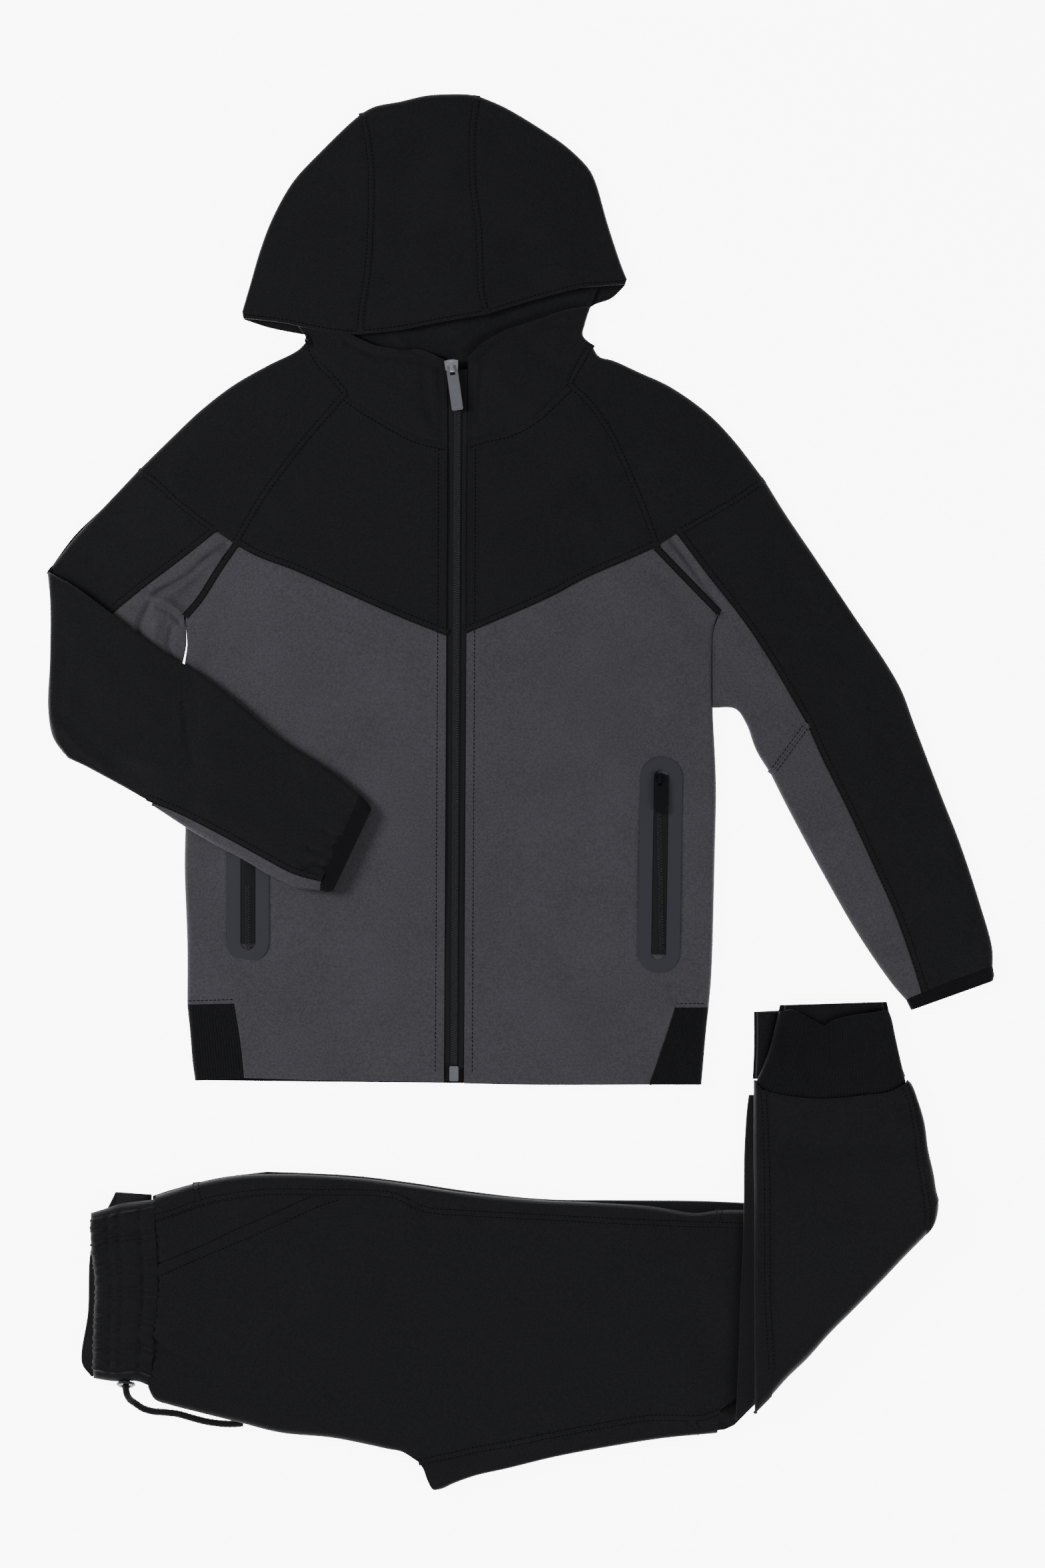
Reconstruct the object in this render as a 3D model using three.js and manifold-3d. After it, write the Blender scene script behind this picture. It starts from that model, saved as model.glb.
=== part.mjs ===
// A child's tracksuit laid flat: a zip hoodie with one sleeve folded across the front, and folded jogger
// trousers.
// Millimetres, +Z up, +Y towards the hood. The origin is on the surface that the set lies on.
// Left and right are the wearer's, so the wearer's right sleeve is on the -X side.

import * as THREE from 'three';
import { mergeVertices } from 'three/addons/utils/BufferGeometryUtils.js';
import Module from 'manifold-3d';

const wasm = await Module();
wasm.setup();

// Driving sizes
const clothThickness = 2.0;     // double-knit fleece
const seamGap = 0.32;           // between two pieces sewn edge to edge
const drapeGap = 0.9;           // between the halves of a folded edge that hangs over other cloth
const restGap = 0.3;            // between a piece and what it lies on
const pairHeight = 7.2;         // two layers of cloth lying on each other
const foldRadius = 4;           // how far a folded edge rounds in from its outline
const quarterSteps = 2;         // facets in a quarter turn of a folded edge
const zipHalfWidth = 7.5;       // from the centre of the front zip to the edge of each front
const zipTop = { x: -47.5, y: 322 };
const zipFoot = { x: -50.5, y: -218 };

const colours = {
  black: { color: 0x17171a, roughness: 0.86, metalness: 0 },
  grey: { color: 0x454449, roughness: 0.88, metalness: 0 },
  rib: { color: 0x121216, roughness: 0.92, metalness: 0 },
  jersey: { color: 0x232327, roughness: 0.93, metalness: 0 },
  film: { color: 0x33363b, roughness: 0.5, metalness: 0 },
  zipTape: { color: 0x1b1b1e, roughness: 0.75, metalness: 0 },
  cord: { color: 0x141416, roughness: 0.85, metalness: 0 },
  gunmetal: { color: 0x3c3d42, roughness: 0.4, metalness: 0.85 },
  silver: { color: 0xb9bbc0, roughness: 0.3, metalness: 0.95 },
};

const tracksuit = new THREE.Group();

function addPiece(name, geometry, finish) {
  geometry.computeVertexNormals();
  const mesh = new THREE.Mesh(geometry, new THREE.MeshStandardMaterial(colours[finish]));
  mesh.name = name;
  tracksuit.add(mesh);
  return mesh;
}

// Rails: smooth lines on the cloth through a few places, each given as [x, y]
function rail(...places) {
  const points = places.map(([x, y]) => new THREE.Vector3(x, y, 0));
  return new THREE.CatmullRomCurve3(points, false, 'centripetal');
}

const quarterTurn = (step) => (step / quarterSteps) * (Math.PI / 2);

// Distances along an edge of the given length: close together round a folded end, even over the flat cloth.
function edgeSteps(length, flats, startFold, endFold) {
  const room = 0.45 * length;
  const start = Math.min(startFold, room);
  const end = Math.min(endFold, room);
  const steps = [];
  for (let k = 0; start > 0 && k < quarterSteps; k += 1) steps.push(start * (1 - Math.cos(quarterTurn(k))));
  for (let k = 0; k <= flats; k += 1) steps.push(start + ((length - start - end) * k) / flats);
  for (let k = quarterSteps - 1; end > 0 && k >= 0; k -= 1) {
    steps.push(length - end * (1 - Math.cos(quarterTurn(k))));
  }
  return steps;
}

// How much of its height each step of an edge keeps: 0 on the outline of a fold, 1 on the flat cloth.
function edgeHeights(count, startFold, endFold) {
  const kept = new Array(count).fill(1);
  for (let k = 0; k < quarterSteps; k += 1) {
    if (startFold > 0) kept[k] = Math.sin(quarterTurn(k));
    if (endFold > 0) kept[count - 1 - k] = Math.sin(quarterTurn(k));
  }
  return kept;
}

// Points along rails that follow each other. Each part is [rail, number of steps].
function runAlong(parts, startFold, endFold) {
  const points = [];
  parts.forEach(([curve, flats], index) => {
    const length = curve.getLength();
    const first = index === 0 ? startFold : 0;
    const last = index === parts.length - 1 ? endFold : 0;
    edgeSteps(length, flats, first, last).forEach((step, k) => {
      if (index === 0 || k > 0) points.push(curve.getPointAt(Math.min(1, step / length)));
    });
  });
  return points;
}

function runningFractions(points) {
  const reach = [0];
  for (let k = 1; k < points.length; k += 1) reach.push(reach[k - 1] + points[k].distanceTo(points[k - 1]));
  return reach.map((value) => value / reach[reach.length - 1]);
}

// Moves the edge points of a grid inwards, so that two pieces sewn together keep a gap.
function insetEdge(grid, side, distance) {
  const lastRow = grid.length - 1;
  const lastColumn = grid[0].length - 1;
  const alongColumns = side === 'top' || side === 'bottom';
  const count = alongColumns ? lastColumn : lastRow;
  const edge = (k) => {
    if (side === 'top') return grid[0][k];
    if (side === 'bottom') return grid[lastRow][k];
    return side === 'left' ? grid[k][0] : grid[k][lastColumn];
  };
  const inner = (k) => {
    if (side === 'top') return grid[1][k];
    if (side === 'bottom') return grid[lastRow - 1][k];
    return side === 'left' ? grid[k][1] : grid[k][lastColumn - 1];
  };
  const moves = [];
  for (let k = 0; k <= count; k += 1) {
    const before = edge(Math.max(0, k - 1));
    const after = edge(Math.min(count, k + 1));
    const across = new THREE.Vector2(-(after.y - before.y), after.x - before.x).normalize();
    const inward = new THREE.Vector2(inner(k).x - edge(k).x, inner(k).y - edge(k).y);
    if (across.dot(inward) < 0) across.negate();
    moves.push(across.multiplyScalar(distance));
  }
  moves.forEach((move, k) => {
    edge(k).x += move.x;
    edge(k).y += move.y;
  });
}

// One layer of cloth between four edges. Its height is level(x, y), and a folded edge rounds towards
// middle(x, y).
// A side edge is folded only in the rows that foldRows names, as [first, last], or in all of them.
function sheet({
  top, bottom, left, right, folds = {}, foldRows = {}, seams = [], inset = seamGap / 2,
  level, middle = () => pairHeight / 2,
}) {
  const { left: foldLeft = 0, right: foldRight = 0, top: foldTop = 0, bottom: foldBottom = 0 } = folds;
  const topRun = runAlong(top, foldLeft, foldRight);
  const bottomRun = runAlong(bottom, foldLeft, foldRight);
  const leftRun = runAlong(left, foldTop, foldBottom);
  const rightRun = runAlong(right, foldTop, foldBottom);
  const lastColumn = topRun.length - 1;
  const lastRow = leftRun.length - 1;
  const flats = top.reduce((sum, part) => sum + part[1], 0);
  const leftReach = runningFractions(leftRun);
  const rightReach = runningFractions(rightRun);
  const columnKept = edgeHeights(lastColumn + 1, foldLeft, foldRight);
  const rowKept = edgeHeights(lastRow + 1, foldTop, foldBottom);
  const sideKept = (i, j) => {
    const [first, last] = (j < lastColumn / 2 ? foldRows.left : foldRows.right) ?? [0, lastRow];
    return i >= first && i <= last ? columnKept[j] : 1;
  };
  const grid = leftRun.map((start, i) => {
    const end = rightRun[i];
    const width = start.distanceTo(end);
    const steps = edgeSteps(width, flats, foldLeft, foldRight);
    return topRun.map((topPoint, j) => {
      const v = steps[j] / width;
      const u = (1 - v) * leftReach[i] + v * rightReach[i];
      const place = new THREE.Vector3()
        .addScaledVector(topPoint, 1 - u).addScaledVector(bottomRun[j], u)
        .addScaledVector(start, 1 - v).addScaledVector(end, v)
        .addScaledVector(topRun[0], -(1 - u) * (1 - v)).addScaledVector(topRun[lastColumn], -(1 - u) * v)
        .addScaledVector(bottomRun[0], -u * (1 - v)).addScaledVector(bottomRun[lastColumn], -u * v);
      return place;
    });
  });
  seams.forEach((side) => insetEdge(grid, side, inset));
  grid.forEach((row, i) => row.forEach((point, j) => {
    const centre = middle(point.x, point.y);
    const kept = sideKept(i, j) * rowKept[i];
    point.z = centre + (level(point.x, point.y) - centre) * kept;
    point.onOutline = kept === 0;
  }));
  return grid;
}

// Joins a top layer and a bottom layer that share a folded right edge into one piece that goes round the
// fold.
function wrapRound(topLayer, bottomLayer) {
  return topLayer.map((row, i) => [...row, ...bottomLayer[i].slice(0, -1).reverse()]);
}

function surfaceNormals(grid, loops) {
  const lastRow = grid.length - 1;
  const columns = grid[0].length;
  return grid.map((row, i) => row.map((point, j) => {
    const before = loops ? row[(j + columns - 1) % columns] : row[Math.max(0, j - 1)];
    const after = loops ? row[(j + 1) % columns] : row[Math.min(columns - 1, j + 1)];
    const across = after.clone().sub(before);
    const down = grid[Math.min(lastRow, i + 1)][j].clone().sub(grid[Math.max(0, i - 1)][j]);
    const normal = across.cross(down);
    if (point.onOutline) normal.z = 0;
    return normal.normalize();
  }));
}

// Gives a grid of outer points its thickness and closes it. The first column faces up, or down with facing
// -1.
// A grid that loops is a tube. Relief raises the outer points over a plain inside.
function clothWall(grid, { thickness = clothThickness, facing = 1, loops = false, relief = () => 0 } = {}) {
  const normals = surfaceNormals(grid, loops);
  const lastRow = grid.length - 1;
  const columns = grid[0].length;
  const firstHalf = normals.flatMap((row) => row.slice(0, Math.ceil(columns / 2)));
  const turned = firstHalf.reduce((sum, normal) => sum + normal.z, 0) * facing < 0;
  const sign = turned ? -1 : 1;
  const positions = [];
  const inner = (lastRow + 1) * columns;
  for (const layer of ['outer', 'inner']) {
    grid.forEach((row, i) => row.forEach((point, j) => {
      const reach = layer === 'outer' ? relief(i, j) : -thickness;
      const place = point.clone().addScaledVector(normals[i][j], sign * reach);
      positions.push(place.x, place.y, place.z);
    }));
  }
  const faces = [];
  const addFace = (a, b, c) => faces.push(...(turned ? [a, c, b] : [a, b, c]));
  const index = (i, j) => i * columns + (j % columns);
  const spans = loops ? columns : columns - 1;
  for (let i = 0; i < lastRow; i += 1) {
    for (let j = 0; j < spans; j += 1) {
      const [a, b, c, d] = [index(i, j), index(i, j + 1), index(i + 1, j + 1), index(i + 1, j)];
      addFace(a, b, c);
      addFace(a, c, d);
      addFace(inner + a, inner + c, inner + b);
      addFace(inner + a, inner + d, inner + c);
    }
  }
  const addRim = (p, q) => {
    addFace(q, p, inner + p);
    addFace(q, inner + p, inner + q);
  };
  for (let j = 0; j < spans; j += 1) {
    addRim(index(0, j), index(0, j + 1));
    addRim(index(lastRow, j + 1), index(lastRow, j));
  }
  for (let i = 0; !loops && i < lastRow; i += 1) {
    addRim(index(i, columns - 1), index(i + 1, columns - 1));
    addRim(index(i + 1, 0), index(i, 0));
  }
  const geometry = new THREE.BufferGeometry();
  geometry.setAttribute('position', new THREE.Float32BufferAttribute(positions, 3));
  geometry.setIndex(faces);
  return geometry;
}

function solidOf(geometry) {
  const plain = geometry.clone();
  plain.deleteAttribute('normal');
  plain.deleteAttribute('uv');
  const merged = mergeVertices(plain, 1e-4);
  return new wasm.Manifold(new wasm.Mesh({
    numProp: 3,
    vertProperties: new Float32Array(merged.attributes.position.array),
    triVerts: new Uint32Array(merged.index.array),
  }));
}

function geometryOf(solid) {
  const mesh = solid.getMesh();
  const geometry = new THREE.BufferGeometry();
  geometry.setAttribute('position', new THREE.Float32BufferAttribute(mesh.vertProperties, 3));
  geometry.setIndex(Array.from(mesh.triVerts));
  return geometry;
}

const joined = (first, second) => geometryOf(solidOf(first).add(solidOf(second)));

// Soft folds of the cloth. Each row is one ridge, or a trough where its height is below zero.
function foldRelief(table, x, y) {
  return table.reduce((sum, fold) => {
    const turn = THREE.MathUtils.degToRad(fold.angle);
    const along = (x - fold.x) * Math.cos(turn) + (y - fold.y) * Math.sin(turn);
    const across = -(x - fold.x) * Math.sin(turn) + (y - fold.y) * Math.cos(turn);
    const fade = Math.exp(-((2 * along / fold.length) ** 4));
    return sum + fold.height * fade * Math.exp(-((across / fold.width) ** 2));
  }, 0);
}

const smooth = THREE.MathUtils.smoothstep;

// Jacket heights
const jacketFolds = [
  { x: -262, y: 148, angle: 52, length: 44, width: 8, height: 1.6 },
  { x: 120, y: 118, angle: -58, length: 50, width: 9, height: 1.2 },
  { x: 158, y: 96, angle: -62, length: 90, width: 12, height: -1.2 },
  { x: 232, y: 92, angle: -48, length: 120, width: 16, height: 1.6 },
  { x: 268, y: -60, angle: -66, length: 150, width: 14, height: -1.1 },
  { x: -258, y: 236, angle: -128, length: 90, width: 16, height: 1.4 },
];
const jacketTop = (x, y) => pairHeight + foldRelief(jacketFolds, x, y);
const floorLevel = () => 0;
const upperMiddle = () => pairHeight / 2 + seamGap / 2;
const lowerMiddle = () => pairHeight / 2 - seamGap / 2;

const zipLine = (y) => THREE.MathUtils.mapLinear(y, zipFoot.y, zipTop.y, zipFoot.x, zipTop.x);
const zipEdge = (side, y) => [zipLine(y) + side * zipHalfWidth, y];

// Seam lines of the jacket, shared by the pieces on both sides of each seam
const seams = {
  right: {
    side: -1,
    chevron: rail(zipEdge(-1, 117), [-91, 131], [-134, 150], [-170, 166], [-199, 177], [-215, 186]),
    raglan: rail([-132, 299], [-141.5, 288], [-163, 263], [-181, 240], [-197, 217], [-215, 186]),
    raglanFoot: rail([-215, 186], [-228, 167], [-242, 145], [-253, 132]),
    collar: rail(zipEdge(-1, 261), [-76, 266], [-91, 273], [-121, 291], [-132, 299]),
    neck: rail([-132, 299], [-142, 311], [-150.5, 320], [-157, 331], [-160, 340]),
    side: rail([-253, 132], [-251, 110], [-253, 94], [-252.5, -26], [-253, -56], [-251, -115], [-251, -160]),
    hem: rail(zipEdge(-1, -218), [-133, -217], [-208, -215]),
    ribInner: rail([-208, -215], [-211, -187], [-215.5, -159]),
    ribTop: rail([-215.5, -159], [-251, -160]),
    zip: rail(zipEdge(-1, 117), zipEdge(-1, -218)),
    yokeZip: rail(zipEdge(-1, 261), zipEdge(-1, 117)),
  },
  left: {
    side: 1,
    chevron: rail(zipEdge(1, 119), [19, 145], [49.5, 161], [79.5, 174], [102, 184]),
    raglan: rail([36, 306], [49, 294], [60, 280], [69, 265], [82, 236], [93.5, 208], [102, 184]),
    raglanFoot: rail([102, 184], [125.5, 159.5], [149.5, 135]),
    collar: rail(zipEdge(1, 263), [-28, 267], [-10.5, 271], [7.5, 280], [25.5, 296], [36, 306]),
    neck: rail([36, 306], [43.5, 320], [53, 336]),
    side: rail([149.5, 135], [145, 122], [144, 108], [144, 64], [146.5, 6], [145.5, -51], [143, -138],
      [141, -162]),
    hem: rail(zipEdge(1, -219), [0, -220], [96, -220]),
    ribInner: rail([96, -220], [107.5, -188], [115.5, -162]),
    ribTop: rail([115.5, -162], [141, -162]),
    zip: rail(zipEdge(1, 119), zipEdge(1, -219)),
    yokeZip: rail(zipEdge(1, 263), zipEdge(1, 119)),
  },
};

function addFronts(name, line) {
  const body = sheet({
    top: [[line.chevron, 8], [line.raglanFoot, 3]],
    bottom: [[line.hem, 6], [line.ribInner, 3], [line.ribTop, 2]],
    left: [[line.zip, 11]],
    right: [[line.side, 11]],
    folds: { right: foldRadius },
    seams: ['top', 'bottom'],
    level: jacketTop,
    middle: upperMiddle,
  });
  addPiece(`front_body_${name}`, clothWall(body), 'grey');
  const yoke = sheet({
    top: [[line.collar, 8]],
    bottom: [[line.chevron, 8]],
    left: [[line.yokeZip, 6]],
    right: [[line.raglan, 6]],
    seams: ['top', 'bottom', 'right'],
    level: jacketTop,
  });
  addPiece(`front_yoke_${name}`, clothWall(yoke), 'black');
}

addFronts('right', seams.right);
addFronts('left', seams.left);

// Back of the jacket, on the surface
const backNeck = rail([-134, 334], [-95, 329], [-50, 327], [0, 328], [38, 332]);
const backChevron = rail([-215, 186], [-135, 166], [-55, 155], [25, 165], [102, 184]);
const backRaglan = {
  right: rail([-134, 334], [-165, 283], [-192, 232], [-215, 186]),
  left: rail([38, 332], [62, 290], [84, 240], [102, 184]),
};

function reversed(curve) {
  return new THREE.CatmullRomCurve3([...curve.points].reverse(), false, 'centripetal');
}

addPiece('back_body', clothWall(sheet({
  top: [[reversed(seams.right.raglanFoot), 3], [backChevron, 5], [seams.left.raglanFoot, 3]],
  bottom: [[rail([-251, -160], [-55, -161], [141, -162]), 11]],
  left: [[seams.right.side, 11]],
  right: [[seams.left.side, 11]],
  folds: { left: foldRadius, right: foldRadius },
  seams: ['top', 'bottom'],
  level: floorLevel,
  middle: lowerMiddle,
}), { facing: -1 }), 'grey');

addPiece('back_yoke', clothWall(sheet({
  top: [[backNeck, 5]],
  bottom: [[backChevron, 5]],
  left: [[backRaglan.right, 4]],
  right: [[backRaglan.left, 4]],
  seams: ['top', 'bottom', 'left', 'right'],
  level: floorLevel,
}), { facing: -1 }), 'black');

// A piece that goes round a folded edge: the same outline above and on the surface, with its own inner
// rail on each
function foldedPiece({
  top, bottom, front, back, backTop = top, backBottom = bottom, fold, edgeSeams, level, inset = seamGap / 2,
}) {
  const shared = { right: fold, folds: { right: foldRadius }, seams: edgeSeams, inset };
  const upper = sheet({ ...shared, top, bottom, left: front, level });
  const lower = sheet({ ...shared, top: backTop, bottom: backBottom, left: back, level: floorLevel });
  return clothWall(wrapRound(upper, lower));
}

// Raglan shoulders run from the neck over the shoulder to the back
const silhouettes = {
  rightShoulder: rail([-160, 340], [-167.5, 332], [-191, 320], [-217, 305], [-241.5, 286],
    [-258.5, 270], [-288, 241]),
  leftShoulder: rail([53, 336], [58.5, 327], [69, 324], [89, 315], [112.5, 304], [140.5, 284],
    [159, 265], [183, 234]),
  leftOuter: rail([183, 234], [198.5, 209], [219.5, 178], [249, 134], [276, 94], [286.5, 75], [295, 52],
    [315.5, -2], [330, -39], [344.5, -83], [354, -117], [354.5, -132]),
  leftArmpit: rail([146, 63], [161, 62], [169, 51], [176.5, 31], [187.5, 13]),
  leftUnder: rail([187.5, 13], [198.5, -9], [222.5, -54], [253.5, -108], [279, -145], [289.5, -157]),
};
const crossSeams = {
  rightOuter: rail([-229, 195.5], [-235, 199.5], [-256.5, 216], [-278, 235], [-288, 241]),
  rightUnder: rail([-229, 195.5], [-215, 186]),
  leftOuter: rail([117, 194], [133.5, 203], [159, 218], [183, 234]),
  leftUnder: rail([117, 194], [102, 184]),
};

addPiece('shoulder_right', foldedPiece({
  top: [[seams.right.neck, 5]],
  bottom: [[reversed(crossSeams.rightUnder), 1], [crossSeams.rightOuter, 4]],
  backTop: [[rail([-134, 334], [-160, 340]), 5]],
  front: [[seams.right.raglan, 7]],
  back: [[backRaglan.right, 7]],
  fold: [[silhouettes.rightShoulder, 7]],
  edgeSeams: ['top', 'bottom', 'left'],
  level: jacketTop,
}), 'black');

addPiece('shoulder_left', foldedPiece({
  top: [[seams.left.neck, 5]],
  bottom: [[reversed(crossSeams.leftUnder), 1], [crossSeams.leftOuter, 4]],
  backTop: [[rail([38, 332], [53, 336]), 5]],
  front: [[seams.left.raglan, 7]],
  back: [[backRaglan.left, 7]],
  fold: [[silhouettes.leftShoulder, 7]],
  edgeSeams: ['top', 'bottom', 'left'],
  level: jacketTop,
}), 'black');

// Left sleeve, laid out straight
const leftSleeveSeam = {
  upper: rail([117, 194], [142.5, 160], [161.5, 136], [176, 116]),
  middle: rail([176, 116], [190, 94], [204, 70], [215, 51]),
  lower: rail([215, 51], [226.5, 25], [244, -10], [263.5, -52], [282.5, -95], [296, -134], [301, -151]),
};
const elbowSeam = rail([215, 51], [187.5, 13]);

addPiece('sleeve_left_outer', foldedPiece({
  top: [[crossSeams.leftOuter, 4]],
  bottom: [[rail([301, -151], [328, -140], [354.5, -132]), 4]],
  front: [[leftSleeveSeam.upper, 4], [leftSleeveSeam.middle, 3], [leftSleeveSeam.lower, 7]],
  back: [[leftSleeveSeam.upper, 4], [leftSleeveSeam.middle, 3], [leftSleeveSeam.lower, 7]],
  fold: [[silhouettes.leftOuter, 14]],
  edgeSeams: ['top', 'bottom', 'left'],
  level: jacketTop,
}), 'black');

// Under the arm the piece is sewn to the body down to the armpit, and only then goes round its own fold.
const leftBodySide = rail([152.5, 133], [150.5, 122], [148, 108], [146, 63]);
const leftUnderArm = {
  top: [[crossSeams.leftUnder, 5]],
  bottom: [[elbowSeam, 5]],
  left: [[leftSleeveSeam.upper, 4], [leftSleeveSeam.middle, 6]],
  right: [[seams.left.raglanFoot, 4], [leftBodySide, 2], [silhouettes.leftArmpit, 4]],
  folds: { right: foldRadius },
  foldRows: { right: [7, 10] },
  seams: ['top', 'bottom', 'left', 'right'],
};
addPiece('sleeve_left_under_upper', joined(
  clothWall(sheet({ ...leftUnderArm, level: jacketTop })),
  clothWall(sheet({ ...leftUnderArm, level: floorLevel }), { facing: -1 }),
), 'grey');

addPiece('sleeve_left_under_lower', foldedPiece({
  top: [[elbowSeam, 3]],
  bottom: [[rail([301, -151], [289.5, -157]), 3]],
  front: [[leftSleeveSeam.lower, 7]],
  back: [[leftSleeveSeam.lower, 7]],
  fold: [[silhouettes.leftUnder, 7]],
  edgeSeams: ['top', 'bottom', 'left'],
  level: jacketTop,
}), 'grey');

// A flat ring of binding round a cuff. Each row of the table is one line across the sleeve: [from, to].
function cuffRing(lines, base) {
  const flats = 6;
  const grid = lines.map(([from, to]) => {
    const start = new THREE.Vector2(...from);
    const end = new THREE.Vector2(...to);
    const width = start.distanceTo(end);
    const steps = edgeSteps(width, flats, foldRadius, foldRadius);
    const kept = edgeHeights(steps.length, foldRadius, foldRadius);
    const places = steps.map((step) => start.clone().lerp(end, step / width));
    const layer = (level) => places.map((place, k) => {
      const low = base(place.x, place.y);
      return new THREE.Vector3(place.x, place.y, low + pairHeight / 2 + (level - pairHeight / 2) * kept[k]);
    });
    return [...layer(pairHeight), ...layer(0).slice(1, -1).reverse()];
  });
  return clothWall(grid, { loops: true });
}

addPiece('cuff_left', cuffRing([
  [[290.3, -157.8], [354.8, -132.8]],
  [[291.5, -161], [355.5, -138]],
  [[293, -164], [354.5, -142]],
], floorLevel), 'rib');

// Right sleeve: the upper arm lies on the surface, and the forearm is folded back over it and over the front
const elbowEdge = rail([-355.5, 165.5], [-353, 136], [-353.5, 100], [-355, 62], [-351, 40], [-343, 28]);
const rightSleeveSeam = {
  upper: rail([-229, 195.5], [-240.5, 186], [-264, 168], [-285.5, 152]),
  lower: rail([-285.5, 152], [-307, 134], [-331, 110]),
};
const rightBodySide = rail([-254.3, 131.5], [-253.2, 110], [-254.5, 94]);
const rightHiddenEdge = rail([-254.5, 94], [-300, 60], [-338, 34]);
const upperArmEnd = { outer: rail([-331, 110], [-346, 176]), under: rail([-331, 110], [-338, 34]) };

addPiece('sleeve_right_outer_upper', clothWall(sheet({
  top: [[crossSeams.rightOuter, 4]],
  bottom: [[upperArmEnd.outer, 4]],
  left: [[rightSleeveSeam.upper, 4], [rightSleeveSeam.lower, 3]],
  right: [[rail([-288, 241], [-312.5, 215], [-336, 192], [-346, 176]), 7]],
  folds: { right: foldRadius },
  seams: ['top', 'left'],
  level: jacketTop,
  middle: upperMiddle,
})), 'black');

addPiece('sleeve_right_under_upper', clothWall(sheet({
  top: [[crossSeams.rightUnder, 5]],
  bottom: [[upperArmEnd.under, 5]],
  left: [[rightSleeveSeam.upper, 4], [rightSleeveSeam.lower, 5]],
  right: [[seams.right.raglanFoot, 3], [rightBodySide, 2], [rightHiddenEdge, 4]],
  folds: { right: foldRadius },
  foldRows: { right: [6, 9] },
  seams: ['top', 'bottom', 'left', 'right'],
  level: jacketTop,
  middle: upperMiddle,
})), 'grey');

// Height that the elbow fold turns round: half of the four layers
const elbowMiddle = pairHeight + restGap / 2;
const elbowLine = (y) => -354.5 + 11.5 * (1 - smooth(y, 26, 56));
const nearElbow = (x, y) => 1 - smooth(x - elbowLine(y), 0.5, 2.4);
addPiece('sleeve_right_back', clothWall(sheet({
  top: [[reversed(crossSeams.rightOuter), 4], [crossSeams.rightUnder, 1], [seams.right.raglanFoot, 3],
    [rightBodySide, 2]],
  bottom: [[elbowEdge, 10]],
  left: [[rail([-288, 241], [-312.5, 215], [-336, 192], [-355.5, 165.5]), 6]],
  right: [[rail([-254.5, 94], [-300, 60], [-343, 28]), 6]],
  folds: { left: foldRadius, right: foldRadius, bottom: 6 },
  foldRows: { right: [1, 8] },
  seams: ['top'],
  level: floorLevel,
  middle: (x, y) => THREE.MathUtils.lerp(lowerMiddle(), elbowMiddle - seamGap / 2, nearElbow(x, y)),
}), { facing: -1 }), 'black');

// The forearm lies on the sleeve and the body, rises over the covered pocket and sags between sleeve and
// body.
const forearmSag = { x: -300, y: 0, acrossX: 27, acrossY: 20, depth: 5 };
function forearmBase(x, y) {
  const overPocket = 1.5 * smooth(x, -250, -230);
  const { x: sagX, y: sagY, acrossX, acrossY, depth } = forearmSag;
  const sag = depth * Math.exp(-(((x - sagX) / acrossX) ** 2) - ((y - sagY) / acrossY) ** 2);
  return pairHeight + restGap + overPocket - sag;
}
const forearmFolds = [
  { x: -262, y: 70, angle: -37, length: 120, width: 15, height: 1.3 },
  { x: -322, y: 60, angle: -58, length: 80, width: 11, height: -1.0 },
  { x: -238, y: -8, angle: -31, length: 150, width: 10, height: 1.0 },
  { x: -150, y: -20, angle: -40, length: 40, width: 5, height: 0.9 },
];
const forearmTop = (x, y) => forearmBase(x, y) + pairHeight + foldRelief(forearmFolds, x, y);
const forearm = {
  upperEdge: rail([-355.5, 165.5], [-334, 153.5], [-308, 134.5], [-271, 107], [-240, 88], [-211.5, 66],
    [-182, 40.5],
    [-145, 17], [-120, -3]),
  lowerEdge: rail([-339.5, 25], [-326.5, 19], [-301, 5], [-281, -6]),
  stripEdge: rail([-281, -6], [-252.5, -26], [-230.5, -39], [-208, -51], [-187.5, -63], [-167, -72],
    [-151, -74]),
  seam: rail([-281, -6], [-256.5, -16], [-226.5, -31], [-197, -47], [-170.5, -61], [-149.5, -67]),
  elbow: rail([-339.5, 25], [-351, 40], [-355, 62], [-353.5, 100], [-353, 136], [-355.5, 165.5]),
  cuffEnd: rail([-149.5, -67], [-137, -40], [-120, -3]),
};

addPiece('sleeve_right_forearm_outer', clothWall(sheet({
  top: [[forearm.elbow, 7]],
  bottom: [[forearm.cuffEnd, 7]],
  left: [[forearm.lowerEdge, 3], [forearm.seam, 7]],
  right: [[forearm.upperEdge, 10]],
  folds: { left: foldRadius, right: foldRadius, top: 6 },
  foldRows: { left: [0, 4] },
  seams: ['left', 'bottom'],
  level: forearmTop,
  middle: (x, y) => THREE.MathUtils.lerp(
    forearmBase(x, y) + pairHeight / 2 + drapeGap / 2, elbowMiddle + seamGap / 2, nearElbow(x, y)),
})), 'black');

addPiece('sleeve_right_forearm_under', clothWall(sheet({
  top: [[rail([-276.5, -8.6], [-274.5, -11.6]), 2]],
  bottom: [[rail([-149.5, -67], [-150.5, -74]), 2]],
  left: [[rail([-276.5, -8.6], [-256.5, -16], [-226.5, -31], [-197, -47], [-170.5, -61], [-149.5, -67]), 7]],
  right: [[rail([-274.5, -11.6], [-252.5, -26], [-230.5, -39], [-208, -51], [-187.5, -63], [-167, -72],
    [-150.5, -74]), 7]],
  folds: { right: foldRadius },
  seams: ['left', 'bottom'],
  level: forearmTop,
  middle: (x, y) => forearmBase(x, y) + pairHeight / 2 + drapeGap / 2,
})), 'grey');

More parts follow.
